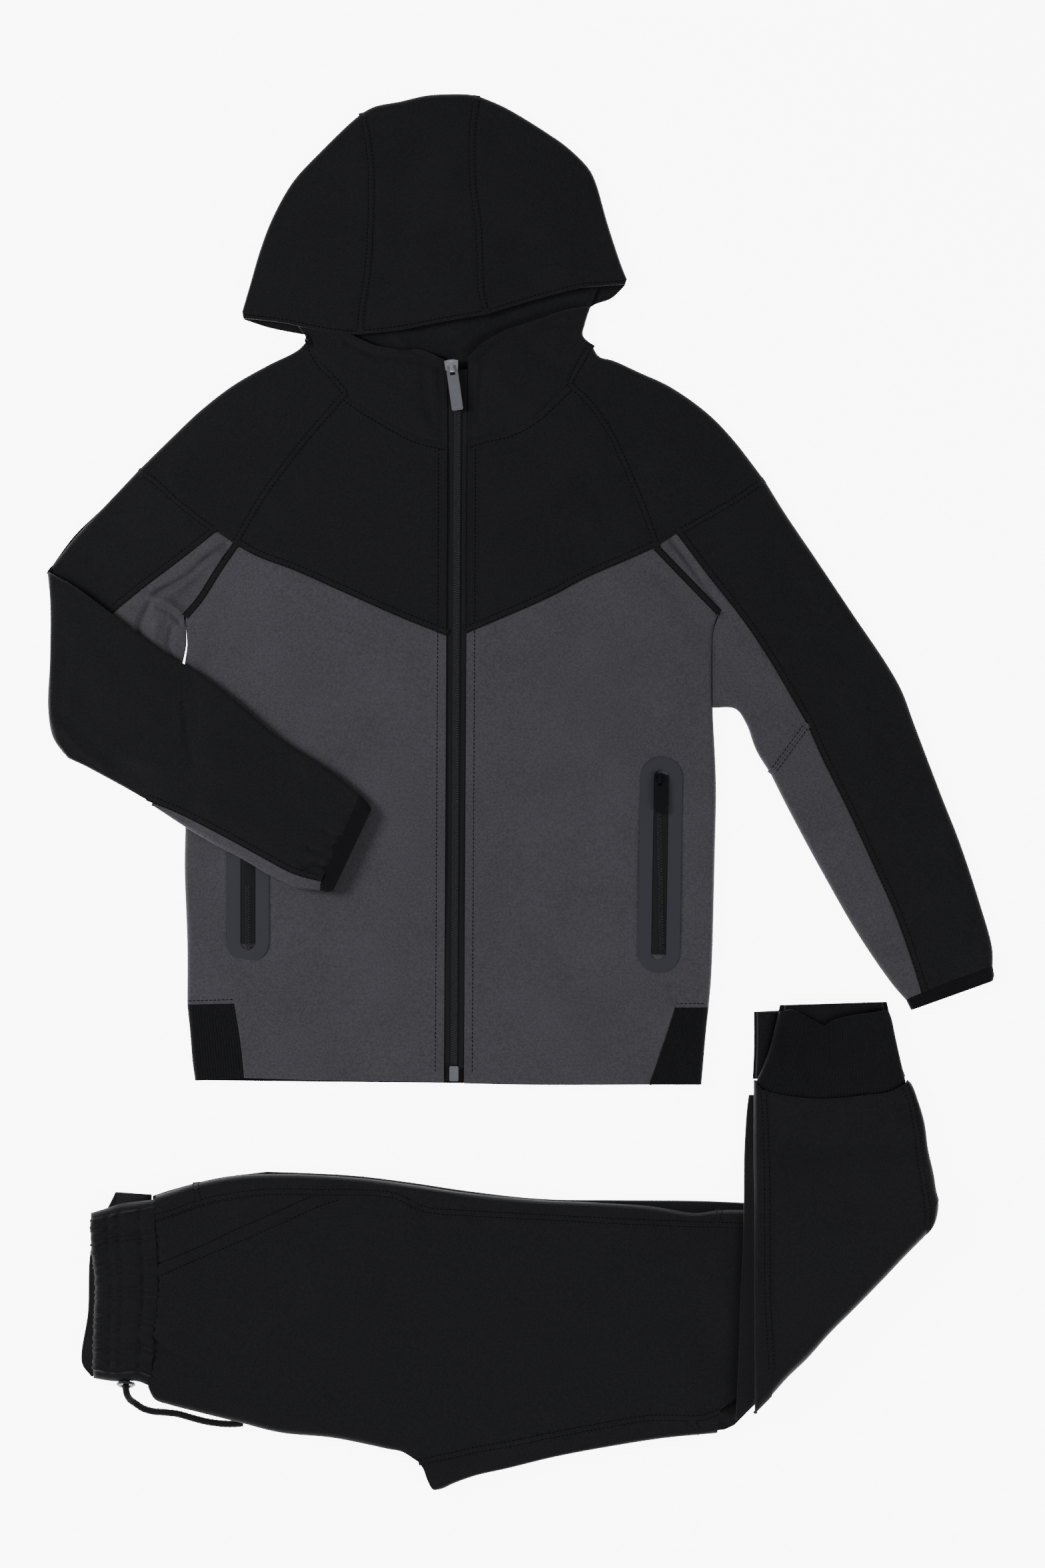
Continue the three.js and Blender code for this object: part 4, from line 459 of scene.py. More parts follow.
strand = 2 * cord_steps[:, None] / BRAID_PITCH
round_cord = BRAID_STRANDS * turns[None]
braid = BRAID_RELIEF * (np.sin(round_cord + strand) * np.sin(round_cord - strand))
radius = CORD_RADIUS - BRAID_RELIEF + braid
outward = np.cos(turns)[None, :, None] * cord_side[:, None] + np.sin(turns)[None, :, None] * cord_up[:, None]
ring = cord_path[:, None] + radius[..., None] * outward
rows, columns = ring.shape[:2]
index = np.arange(rows * columns).reshape(rows, columns)
right = np.roll(index, -1, axis=1)
faces = np.stack([index[:-1], index[1:], right[1:], right[:-1]], -1).reshape(-1, 4).tolist()
faces += [index[0].tolist(), index[-1][::-1].tolist()]
drawcord = add_piece("drawcord_braid", ring.reshape(-1, 3), faces, cord_braid)
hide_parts("drawcord")
ride_set(drawcord)
print(f"drawcord: {cord_length:.0f} mm shows")

# %% [markdown]
# The metal pieces and the pocket film keep their CAD shapes, which are right already, and get their finish
# here.

# %% Finish of the CAD pieces that stay
kept_pieces = [
    (bright_metal, ["front_slider"]),
    (dark_metal, ["front_pull_tab", "front_zip_box"]),
    (pocket_metal, ["pocket_slider_left", "pocket_pull_tab_left", "eyelet"]),
    (pocket_film, ["pocket_film_right", "pocket_film_left"]),
    (zip_tape, ["front_zip", "pocket_zip_right", "pocket_zip_left"]),
]
for material, names in kept_pieces:
    for name in names:
        shape = bpy.data.objects[name]
        if not shape.material_slots:
            shape.data.materials.append(None)
        for slot in shape.material_slots:
            slot.material = material

# %% [markdown]
# The jacket lies on its back, two layers of cloth high, so its top surface is 7.2 mm above the table. The
# tables give the soft creases: first the large ones of the CAD panels, then the small ones that a camera
# sees.

# %% Jacket surface
jacket_folds = [
    (-262, 148, 52, 44, 8, 1.6), (120, 118, -58, 50, 9, 1.2), (158, 96, -62, 90, 12, -1.2),
    (232, 92, -48, 120, 16, 1.6), (268, -60, -66, 150, 14, -1.1), (-258, 236, -128, 90, 16, 1.4),
]
jacket_creases = [
    (-90, -60, 84, 190, 16, 0.6), (-130, 60, 70, 150, 18, -0.5), (-60, 40, 88, 200, 8, 0.5),
    (-160, -170, 8, 90, 9, -0.9), (-190, -135, -10, 60, 8, 0.6), (20, -90, 95, 200, 20, -0.5),
    (70, 60, 100, 140, 15, 0.6), (60, -150, 12, 120, 12, 0.6), (110, -190, 20, 60, 8, -0.6),
    (-10, 210, 80, 90, 14, 0.5), (-100, 215, 100, 90, 15, -0.5), (-170, 200, -55, 80, 8, 0.7),
    (60, 215, -60, 90, 9, -0.7), (128, 150, -48, 60, 6, 0.9), (100, 165, -35, 60, 6, -0.7),
    (195, 200, -55, 110, 9, 0.8), (214, 140, -58, 120, 8, -0.8), (250, 60, -64, 120, 8, 0.9),
    (290, 0, -68, 130, 9, -0.8), (240, 20, -62, 90, 8, 0.7), (310, -80, -70, 110, 8, 0.7),
    (195, 45, 38, 50, 6, -0.9), (225, 70, 30, 60, 7, 0.7), (-240, 190, -38, 50, 6, 0.8),
    (-300, 180, -30, 70, 8, 0.8), (-320, 150, -20, 60, 7, -0.8), (-238, 120, 70, 50, 6, 0.8),
    (-235, 96, 50, 44, 6, -0.9), (-225, 112, 30, 50, 6, 0.7),
]


armpit_folds = [
    ([(-221, 185), (-235, 176), (-250, 162), (-266, 153), (-275, 148), (-282, 135), (-288, 121)], 2.6, -2.8),
    ([(-226, 177), (-240, 168), (-254, 154), (-268, 146)], 3.5, 2.0),
    ([(-276, 145), (-264, 141), (-256, 135)], 3.0, 3.2), ([(-273, 139), (-262, 134), (-257, 128)], 2.0, -2.2),
    ([(-262, 122), (-265, 112), (-264, 102)], 2.4, -1.8), ([(-272, 128), (-276, 116)], 4.5, 1.8),
    ([(-310, 182), (-290, 188), (-274, 190)], 5, 0.9), ([(-322, 172), (-296, 176), (-280, 172)], 4, -0.8),
    ([(113, 190), (128, 168), (140, 150), (152, 134)], 3.0, -2.0),
    ([(118, 178), (132, 160), (146, 140)], 2.6, 1.2), ([(149, 70), (153, 66), (170, 60)], 3, -0.8),
    ([(146, 124), (147, 100), (146, 70)], 3, -0.9), ([(-216, -134), (-192, -137), (-172, -146)], 3, -1.1),
    ([(-214, -126), (-196, -130)], 3.5, 0.9), ([(-164, -139), (-142, -136)], 2.4, -0.6),
    ([(-212, -157), (-206, -153)], 2.0, 1.2), ([(118, -158), (113, -152), (112, -146)], 2.4, -0.9),
]


def jacket_top(x, y):
    creases = fold_relief(jacket_folds + jacket_creases, x, y) + drawn_relief(armpit_folds, x, y)
    return PAIR_HEIGHT + creases + ripple(x, y, 0.35)


def level_at(height):
    return lambda x, y: np.zeros_like(x) + height


on_floor = level_at(0)
upper_middle = level_at(PAIR_HEIGHT / 2 + SEAM_GAP / 2)
lower_middle = level_at(PAIR_HEIGHT / 2 - SEAM_GAP / 2)


ZIP_HALF = 7.5
ZIP_TOP, ZIP_FOOT = (-47.5, 322), (-50.5, -218)


def zip_line(y):
    return ZIP_FOOT[0] + (y - ZIP_FOOT[1]) / (ZIP_TOP[1] - ZIP_FOOT[1]) * (ZIP_TOP[0] - ZIP_FOOT[0])


def zip_edge(side, y):
    return (zip_line(y) + side * ZIP_HALF, y)

# %% [markdown]
# Each seam is one rail that the pieces on both sides share. The fronts join the yokes in a chevron, the
# raglan seams run from the neck to the armpit, and rib knit fills the two front corners of the hem.

# %% Seams of the jacket
seams = {
    "right": dict(
        chevron=rail(zip_edge(-1, 117), (-91, 131), (-134, 150), (-170, 166), (-199, 177), (-215, 186)),
        raglan=rail((-132, 299), (-141.5, 288), (-163, 263), (-181, 240), (-197, 217), (-215, 186)),
        raglan_foot=rail((-215, 186), (-228, 167), (-242, 145), (-253, 132)),
        collar=rail(zip_edge(-1, 261), (-76, 266), (-91, 273), (-121, 291), (-132, 299)),
        neck=rail((-132, 299), (-142, 311), (-150.5, 320), (-157, 331), (-160, 340)),
        side=rail((-253, 132), (-251, 110), (-253, 94), (-252.5, -26), (-253, -56), (-251, -115),
                  (-251, -160)),
        hem=rail(zip_edge(-1, -218), (-133, -217), (-208, -215)),
        rib_inner=rail((-208, -215), (-211, -187), (-215.5, -159)),
        rib_top=rail((-215.5, -159), (-251, -160)),
        zip=rail(zip_edge(-1, 117), zip_edge(-1, -218)),
        yoke_zip=rail(zip_edge(-1, 261), zip_edge(-1, 117))),
    "left": dict(
        chevron=rail(zip_edge(1, 119), (19, 145), (49.5, 161), (79.5, 174), (102, 184)),
        raglan=rail((36, 306), (49, 294), (60, 280), (69, 265), (82, 236), (93.5, 208), (102, 184)),
        raglan_foot=rail((102, 184), (125.5, 159.5), (149.5, 135)),
        collar=rail(zip_edge(1, 263), (-28, 267), (-10.5, 271), (7.5, 280), (25.5, 296), (36, 306)),
        neck=rail((36, 306), (43.5, 320), (53, 336)),
        side=rail((149.5, 135), (145, 122), (144, 108), (144, 64), (146.5, 6), (145.5, -51), (143, -138),
                  (141, -162)),
        hem=rail(zip_edge(1, -219), (0, -220), (96, -220)),
        rib_inner=rail((96, -220), (107.5, -188), (115.5, -162)),
        rib_top=rail((115.5, -162), (141, -162)),
        zip=rail(zip_edge(1, 119), zip_edge(1, -219)),
        yoke_zip=rail(zip_edge(1, 263), zip_edge(1, 119))),
}

# %% Front panels and yokes
for side, line in seams.items():
    panel(f"front_body_{side}", GREY, "laid", ["back_body"], sheet(
        top=[(line["chevron"], 8), (line["raglan_foot"], 3)],
        bottom=[(line["hem"], 6), (line["rib_inner"], 3), (line["rib_top"], 2)],
        left=[(line["zip"], 11)], right=[(line["side"], 11)],
        folds={"right": FOLD_RADIUS}, seams=("top", "bottom"), level=jacket_top, middle=upper_middle,
        fine=(7, 11)))
    panel(f"front_yoke_{side}", BLACK, "laid", ["back_yoke"], sheet(
        top=[(line["collar"], 8)], bottom=[(line["chevron"], 8)], left=[(line["yoke_zip"], 6)],
        right=[(line["raglan"], 6)], seams=("top", "bottom", "right"), level=jacket_top, fine=(6, 8)))

# %% [markdown]
# The back panels lie flat on the table. They are rarely seen, but the same seams cross them, and the part
# may be turned over, so they are made from the same rails with a plain underside.

# %% Back of the jacket
back_neck = rail((-134, 334), (-95, 329), (-50, 327), (0, 328), (38, 332))
back_hem = rail((-251, -160), (-55, -161), (141, -162))
back_chevron = rail((-215, 186), (-135, 166), (-55, 155), (25, 165), (102, 184))
back_raglan = {"right": rail((-134, 334), (-165, 283), (-192, 232), (-215, 186)),
               "left": rail((38, 332), (62, 290), (84, 240), (102, 184))}
panel("back_body", GREY, "laid", ["floor"], sheet(
    top=[(seams["right"]["raglan_foot"][::-1], 3), (back_chevron, 5), (seams["left"]["raglan_foot"], 3)],
    bottom=[(back_hem, 11)],
    left=[(seams["right"]["side"], 11)], right=[(seams["left"]["side"], 11)],
    folds={"left": FOLD_RADIUS, "right": FOLD_RADIUS}, seams=("top", "bottom"), level=on_floor,
    middle=lower_middle,
    fine=(6, 6)), facing=-1)
panel("back_yoke", BLACK, "laid", ["floor"], sheet(
    top=[(back_neck, 5)], bottom=[(back_chevron, 5)], left=[(back_raglan["right"], 4)],
    right=[(back_raglan["left"], 4)], seams=("top", "bottom", "left", "right"), level=on_floor, fine=(8, 8)),
    facing=-1)

# %% [markdown]
# Shoulders, sleeves and hood panels go round a folded edge in one piece: a top layer, the rounded edge and
# a layer on the table. The two layers share the rail along the fold, so the cloth is unbroken there.

# %% Pieces that go round a fold
def folded_grid(top, bottom, front, fold, level, back=None, back_top=None, back_bottom=None, edge_seams=(),
                inset=SEAM_GAP / 2, fine=(5, 6)):
    shared = dict(right=fold, folds={"right": FOLD_RADIUS}, seams=edge_seams, inset=inset, fine=fine)
    upper, outline = sheet(top=top, bottom=bottom, left=front, level=level, **shared)
    lower, low_outline = sheet(top=back_top or top, bottom=back_bottom or bottom, left=back or front,
                               level=on_floor,
                               **shared)
    grid = np.concatenate([upper, lower[:, :-1][:, ::-1]], axis=1)
    return grid, np.concatenate([outline, low_outline[:, :-1][:, ::-1]], axis=1)


outlines = {
    "right_shoulder": rail((-160, 340), (-167.5, 332), (-191, 320), (-217, 305), (-241.5, 286), (-258.5, 270),
                           (-288, 241)),
    "left_shoulder": rail((53, 336), (58.5, 327), (69, 324), (89, 315), (112.5, 304), (140.5, 284),
                          (159, 265),
                          (183, 234)),
    "left_outer": rail((183, 234), (198.5, 209), (219.5, 178), (249, 134), (276, 94), (286.5, 75), (295, 52),
                       (315.5, -2), (330, -39), (344.5, -83), (354, -117), (354.5, -132)),
    "left_armpit": rail((143.6, 63), (161, 62), (169, 51), (176.5, 31), (187.5, 13)),
    "left_under": rail((187.5, 13), (198.5, -9), (222.5, -54), (253.5, -108), (279, -145), (289.5, -157)),
}
cross_seams = {
    "right_outer": rail((-229, 195.5), (-235, 199.5), (-256.5, 216), (-278, 235), (-288, 241)),
    "right_under": rail((-229, 195.5), (-215, 186)),
    "left_outer": rail((117, 194), (133.5, 203), (159, 218), (183, 234)),
    "left_under": rail((117, 194), (102, 184)),
}
neck_ends = {"right": rail((-134, 334), (-160, 340)), "left": rail((38, 332), (53, 336))}
for side in SIDES:
    panel(f"shoulder_{side}", BLACK, "laid", ["floor"], folded_grid(
        top=[(seams[side]["neck"], 5)], back_top=[(neck_ends[side], 5)],
        bottom=[(cross_seams[f"{side}_under"][::-1], 1), (cross_seams[f"{side}_outer"], 4)],
        front=[(seams[side]["raglan"], 7)], back=[(back_raglan[side], 7)],
        fold=[(outlines[f"{side}_shoulder"], 7)], edge_seams=("top", "bottom", "left"), level=jacket_top,
        fine=(6, 8)))

# %% Left sleeve, laid straight
left_sleeve_upper = rail((117, 194), (142.5, 160), (161.5, 136), (176, 116))
left_sleeve_middle = rail((176, 116), (190, 94), (204, 70), (215, 51))
left_sleeve_lower = rail((215, 51), (226.5, 25), (244, -10), (263.5, -52), (282.5, -95), (296, -134),
                         (301, -151))
left_sleeve_seam = [(left_sleeve_upper, 4), (left_sleeve_middle, 3), (left_sleeve_lower, 7)]
elbow_seam = rail((215, 51), (187.5, 13))
panel("sleeve_left_outer", BLACK, "laid", ["floor"], folded_grid(
    top=[(cross_seams["left_outer"], 4)], bottom=[(rail((301, -151), (328, -140), (354.5, -132)), 4)],
    front=left_sleeve_seam, fold=[(outlines["left_outer"], 14)], edge_seams=("top", "bottom", "left"),
    level=jacket_top, fine=(6, 10)))

left_body_side = rail((149.6, 134.9), (144.6, 122), (143.6, 108), (143.6, 63))
under_arm = dict(
    top=[(cross_seams["left_under"], 5)], bottom=[(elbow_seam, 5)],
    left=[(left_sleeve_upper, 4), (left_sleeve_middle, 6)],
    right=[(seams["left"]["raglan_foot"], 4), (left_body_side, 2), (outlines["left_armpit"], 4)],
    folds={"right": FOLD_RADIUS}, fold_rows={"right": (6, 7)}, seams=("top", "bottom", "left", "right"),
    fine=(3, 6))


def join_as(name, pieces):
    if len(pieces) > 1:
        with bpy.context.temp_override(active_object=pieces[0], selected_editable_objects=pieces):
            bpy.ops.object.join()
    pieces[0].name = name
    return pieces[0]


upper, outline = sheet(level=jacket_top, **under_arm)
lower, low_outline = sheet(level=on_floor, **under_arm)
under_pieces = [wall("under_top", upper, outline), wall("under_floor", lower, low_outline, facing=-1)]
dress(join_as("cloth_sleeve_left_under_upper", under_pieces), "sleeve_left_under_upper", GREY,
      np.concatenate([upper, lower[:, ::-1]], axis=1))
panel("sleeve_left_under_lower", GREY, "laid", ["floor"], folded_grid(
    top=[(elbow_seam, 3)], bottom=[(rail((301, -151), (289.5, -157)), 3)], front=[(left_sleeve_lower, 7)],
    fold=[(outlines["left_under"], 7)], edge_seams=("top", "bottom", "left"), level=jacket_top, fine=(4, 9)))

# %% [markdown]
# A bound cuff is a narrow flat tube of rib at the end of each sleeve.

# %% Bound cuffs
def cuff_grid(lines, base):
    rows = []
    for index, (start, end) in enumerate(lines):
        start, end = np.array(start, float), np.array(end, float)
        width = np.linalg.norm(end - start)
        steps = edge_steps(width, 42, FOLD_RADIUS, FOLD_RADIUS)
        kept = edge_heights(len(steps), FOLD_RADIUS, FOLD_RADIUS)
        flat = start + (end - start) * (steps / width)[:, None]
        low = base(flat[:, 0], flat[:, 1])
        tuck = 0.7 if index == 0 else 1
        layer = [np.column_stack([flat, low + PAIR_HEIGHT / 2 + (z - PAIR_HEIGHT / 2) * kept * tuck])
                 for z in (PAIR_HEIGHT, 0)]
        rows.append(np.vstack([layer[0], layer[1][1:-1][::-1]]))
    return np.stack(rows)


def even_rows(lines, count):
    """More rows between the few lines of a table."""
    lines = np.array(lines, float)
    at = np.linspace(0, len(lines) - 1, count)
    whole = np.minimum(at.astype(int), len(lines) - 2)
    return lines[whole] + (lines[whole + 1] - lines[whole]) * (at - whole)[:, None, None]


def add_cuff(side, lines, base, tuck):
    """The first row, moved by tuck, is inside the sleeve, where the cuff is sewn in."""
    lines = even_rows(lines, 7)
    grid = cuff_grid(np.concatenate([lines[:1] + np.array(tuck, float), lines]), base)
    columns = np.arange(grid.shape[1])
    relief = np.tile(0.12 * np.cos(columns * math.pi), (len(grid), 1))
    dress(wall(f"cloth_cuff_{side}", grid, loops=True, relief=relief), f"cuff_{side}", RIB, grid,
          turned_in=0.002, knit=binding_knit)


add_cuff("left", [((289.6, -157.1), (354.5, -132.1)), ((291.5, -161), (355.5, -138)),
                  ((293, -164), (354.5, -142))],
         on_floor, (-1.1, 2.6))

# %% [markdown]
# The wearer's right sleeve is folded back at the elbow, so the forearm lies over the upper arm and the
# front. It sags a little between the sleeve below it and the body, and it rides up over the zipped pocket
# that it covers.

# %% Right upper arm
elbow_places = [(-355.5, 165.5), (-353, 136), (-353.5, 100), (-355, 62), (-351, 40)]
right_sleeve_upper = rail((-229, 195.5), (-240.5, 186), (-264, 168), (-285.5, 152))
right_sleeve_lower = rail((-285.5, 152), (-307, 134), (-331, 110))
right_body_side = rail((-253.1, 131.8), (-251.8, 112), (-255.2, 94))
right_hidden_edge = rail((-255.2, 94), (-300, 60), (-338, 34))
panel("sleeve_right_outer_upper", BLACK, "folded", ["sleeve_right_back"], sheet(
    top=[(cross_seams["right_outer"], 4)], bottom=[(rail((-331, 110), (-353, 168.5)), 4)],
    left=[(right_sleeve_upper, 4), (right_sleeve_lower, 3)],
    right=[(rail((-288, 241), (-312.5, 215), (-336, 190), (-353, 168.5)), 7)],
    folds={"right": FOLD_RADIUS}, seams=("top", "left"), level=jacket_top, middle=upper_middle, fine=(6, 7)))
panel("sleeve_right_under_upper", GREY, "folded", ["sleeve_right_back"], sheet(
    top=[(cross_seams["right_under"], 5)], bottom=[(rail((-331, 110), (-338, 34)), 5)],
    left=[(right_sleeve_upper, 4), (right_sleeve_lower, 5)],
    right=[(seams["right"]["raglan_foot"], 3), (right_body_side, 2), (right_hidden_edge, 4)],
    folds={"right": FOLD_RADIUS}, fold_rows={"right": (5, 6)}, seams=("top", "bottom", "left", "right"),
    level=jacket_top, middle=upper_middle, fine=(8, 9)))

# %% Right sleeve round the elbow and forearm
REST_GAP = 0.3
DRAPE_GAP = 0.9
elbow_middle = PAIR_HEIGHT + REST_GAP / 2


def near_elbow(x, y):
    elbow_line = -354.5 + 11.5 * (1 - smooth(y, 26, 56))
    return 1 - smooth(x - elbow_line, 0.5, 2.4)


def mix(low, high, part):
    return low + (high - low) * part


panel("sleeve_right_back", BLACK, "folded", ["floor"], sheet(
    top=[(cross_seams["right_outer"][::-1], 4), (cross_seams["right_under"], 1),
         (seams["right"]["raglan_foot"], 3),
         (right_body_side, 2)],
    bottom=[(rail(*elbow_places, (-343, 28)), 10)],
    left=[(rail((-288, 241), (-312.5, 215), (-336, 192), (-355.5, 165.5)), 6)],
    right=[(rail((-255.2, 94), (-300, 60), (-343, 28)), 6)],
    folds={"left": FOLD_RADIUS, "right": FOLD_RADIUS, "bottom": 6}, fold_rows={"right": (0, 1)},
    seams=("top",),
    level=on_floor, fine=(4, 6),
    middle=lambda x, y: mix(lower_middle(x, y), elbow_middle - SEAM_GAP / 2, near_elbow(x, y))), facing=-1)


def forearm_base(x, y):
    over_pocket = 1.5 * smooth(x, -250, -230)
    sag = 5 * np.exp(-(((x + 300) / 27) ** 2) - (y / 20) ** 2)
    return PAIR_HEIGHT + REST_GAP + over_pocket - sag


forearm_folds = [
    (-262, 70, -37, 120, 15, 1.3), (-322, 60, -58, 80, 11, -1.0), (-238, -8, -31, 150, 10, 1.0),
    (-150, -20, -40, 40, 5, 0.9), (-332, 118, -60, 70, 9, 0.9), (-300, 95, -45, 90, 8, -0.8),
    (-226, 40, -40, 110, 9, -0.7), (-190, -10, -36, 90, 8, 0.7), (-170, 15, -45, 60, 7, -0.6),
    (-205, 20, -30, 80, 6, 0.6), (-336, 80, 85, 60, 7, 0.8), (-300, 30, -25, 60, 7, 0.8),
    (-146, -35, -20, 26, 4, -0.7), (-140, -12, -25, 24, 4, 0.6), (-270, 10, -20, 60, 7, -0.7),
]


forearm_creases = [
    ([(-253, 69), (-250.5, 44), (-246, 22)], 2.2, -1.1), ([(-257, 66), (-255, 44)], 4, 0.6),
    ([(-350, 52), (-339, 42), (-330, 32), (-312, 19)], 4, 1.0),
    ([(-345, 60), (-332, 48), (-318, 36)], 4, -0.8), ([(-159, -43), (-149, -45), (-139, -41)], 2.0, -2.4),
    ([(-161, -58), (-152, -54), (-145, -58)], 2.0, -2.6), ([(-156, -50), (-146, -51)], 2.2, 1.6),
    ([(-146, -30), (-137, -34)], 2.4, -1.7), ([(-143, -20), (-133, -24)], 2.4, 1.3),
    ([(-152, -64), (-146, -62)], 2, 1.3),
]


def forearm_top(x, y):
    creases = fold_relief(forearm_folds, x, y) + drawn_relief(forearm_creases, x, y)
    return forearm_base(x, y) + PAIR_HEIGHT + creases + ripple(x, y, 0.3)


upper_places = [(-334, 153.5), (-308, 134.5), (-271, 107), (-240, 88), (-211.5, 66), (-182, 40.5), (-145, 17),
                (-120, -3)]
lower_places = [(-252.5, -26), (-230.5, -39), (-208, -51), (-187.5, -63), (-167, -72), (-150.5, -74)]
sewn_places = [(-256.5, -16), (-226.5, -31), (-197, -47), (-170.5, -61), (-149.5, -67)]
forearm_seam = rail((-281, -6), *sewn_places)
cuff_end = rail((-149.5, -67), (-137, -40), (-120, -3))
panel("sleeve_right_forearm_outer", BLACK, "folded", ["front_body_right", "sleeve_right_under_upper"], sheet(
    top=[(rail((-339.5, 25), *elbow_places[::-1]), 7)],
    bottom=[(cuff_end, 7)],
    left=[(rail((-339.5, 25), (-326.5, 19), (-301, 5), (-281, -6)), 3), (forearm_seam, 7)],
    right=[(rail((-355.5, 165.5), *upper_places), 10)],
    folds={"left": FOLD_RADIUS, "right": FOLD_RADIUS, "top": 6},
    fold_rows={"left": (3, 2)}, seams=("left", "bottom"), level=forearm_top, fine=(9, 12),
    middle=lambda x, y: mix(forearm_base(x, y) + PAIR_HEIGHT / 2 + DRAPE_GAP / 2, elbow_middle + SEAM_GAP / 2,
                            near_elbow(x, y))))
panel("sleeve_right_forearm_under", GREY, "folded", ["front_body_right"], sheet(
    top=[(rail((-276.5, -8.6), (-274.5, -11.6)), 2)], bottom=[(rail((-149.5, -67), (-150.5, -74)), 2)],
    left=[(rail((-276.5, -8.6), *sewn_places), 7)], right=[(rail((-274.5, -11.6), *lower_places), 7)],
    folds={"right": FOLD_RADIUS}, seams=("left", "bottom"), level=forearm_top, fine=(4, 9),
    middle=lambda x, y: forearm_base(x, y) + PAIR_HEIGHT / 2 + DRAPE_GAP / 2))
panel("sleeve_right_forearm_back", BLACK, "folded", ["front_body_right"], sheet(
    top=[(rail((-329, 20.4), (-342, 96), (-338, 155.4)), 6)],
    bottom=[(rail((-150.5, -74), (-137, -40), (-120, -3)), 6)],
    left=[(rail((-329, 20.4), (-301, 5), (-281, -6), *lower_places), 9)],
    right=[(rail((-338, 155.4), *upper_places), 9)],
    folds={"left": FOLD_RADIUS, "right": FOLD_RADIUS}, seams=("bottom",), level=forearm_base, fine=(4, 6),
    dip=0,
    middle=lambda x, y: forearm_base(x, y) + PAIR_HEIGHT / 2 - DRAPE_GAP / 2), facing=-1)
add_cuff("right", [((-150.5, -74), (-120, -3.1)), ((-146, -75), (-115.5, -8)), ((-141, -74.5), (-112, -13))],
         forearm_base, (-3, 1.6))

# %% [markdown]
# The collar fronts run from the neck seam to a free lip, and the hood's three panels go over the crown and
# down behind. The hood's front hem rides over the collar, with a crescent of jersey lining in its shade.

# %% Collar and hood
collar_lips = {"right": [(-55.5, 323), (-71.5, 330), (-93, 332), (-110, 335), (-130, 344), (-150, 353)],
               "left": [(-39.8, 326), (-29, 336.5), (-12, 346), (3, 351), (24.5, 358), (39, 362)]}
collar_creases = [
    (collar_lips["right"], 3.2, 1.3), (collar_lips["left"], 3.4, 1.5),
    ([(-60, 317), (-75, 323), (-95, 325.5), (-112, 328), (-131, 337)], 2.2, -1.0),
    ([(-31, 324), (-20, 334), (-4, 341), (12, 346), (30, 352)], 2.2, -1.2),
    ([(52, 362), (31, 357), (5, 342), (-24, 326), (-29, 318), (-31, 300), (-32, 278)], 2.6, -1.4),
    ([(-95, 345), (-91, 333), (-67, 325)], 2.0, -1.2),
    ([(-160, 338), (-135, 318), (-111, 310), (-85, 290), (-68, 272)], 6, 0.8),
    ([(-73, 312), (-70, 296), (-66, 275)], 4, -0.8), ([(-62, 318), (-60, 290), (-60, 266)], 2.2, -0.8),
    ([(-36, 318), (-36, 290), (-37, 266)], 2.2, -0.8), ([(-20, 316), (-10, 300), (8, 290)], 6, 0.7),
    ([(8, 336), (22, 322), (34, 314)], 6, -0.7),
]


def collar_top(x, y):
    return jacket_top(x, y) + drawn_relief(collar_creases, x, y)


collar_ends = {
    "right": ([(-174, 357)], [(-174, 357), (-160, 340)], zip_edge(-1, 261)),
    "left": ([(52, 364)], [(52, 364), (48, 351), (46.5, 343), (53, 336)], zip_edge(1, 263)),
}
for side, (lip_end, neck_end, zip_end) in collar_ends.items():
    lip = collar_lips[side]
    panel(f"collar_{side}", BLACK, "laid", ["back_yoke"], sheet(
        top=[(rail(*lip, *lip_end), 11)], bottom=[(seams[side]["collar"], 8), (seams[side]["neck"], 3)],
        left=[(rail(lip[0], zip_end), 4)], right=[(rail(*neck_end), 4)], folds={"right": 3},
        seams=("bottom",),
        level=collar_top, middle=upper_middle, fine=(7, 12)))

hood_folds = [
    (-88, 430, 78, 120, 14, -0.9), (20, 420, -52, 110, 16, 0.9), (-160, 400, 60, 90, 14, 0.8),
    (-60, 470, 95, 80, 12, 0.5), (-180, 375, 65, 50, 8, -0.6), (50, 400, -60, 60, 8, -0.6),
    (-75, 375, 5, 80, 8, 0.5), (0, 380, 10, 70, 8, -0.5), (-10, 470, -40, 80, 10, 0.5),
]


def hood_top(x, y):
    hem = np.where(x < -121, np.interp(x, [-208, -121], [355, 343]),
                   np.where(x < -26, np.interp(x, [-121, -26], [343, 358]),
                            np.interp(x, [-26, 79], [358, 381])))
    lift = 2.4 * (1 - smooth(y - hem, 14, 70))
    return PAIR_HEIGHT + lift + fold_relief(hood_folds, x, y) + ripple(x, y, 0.15)


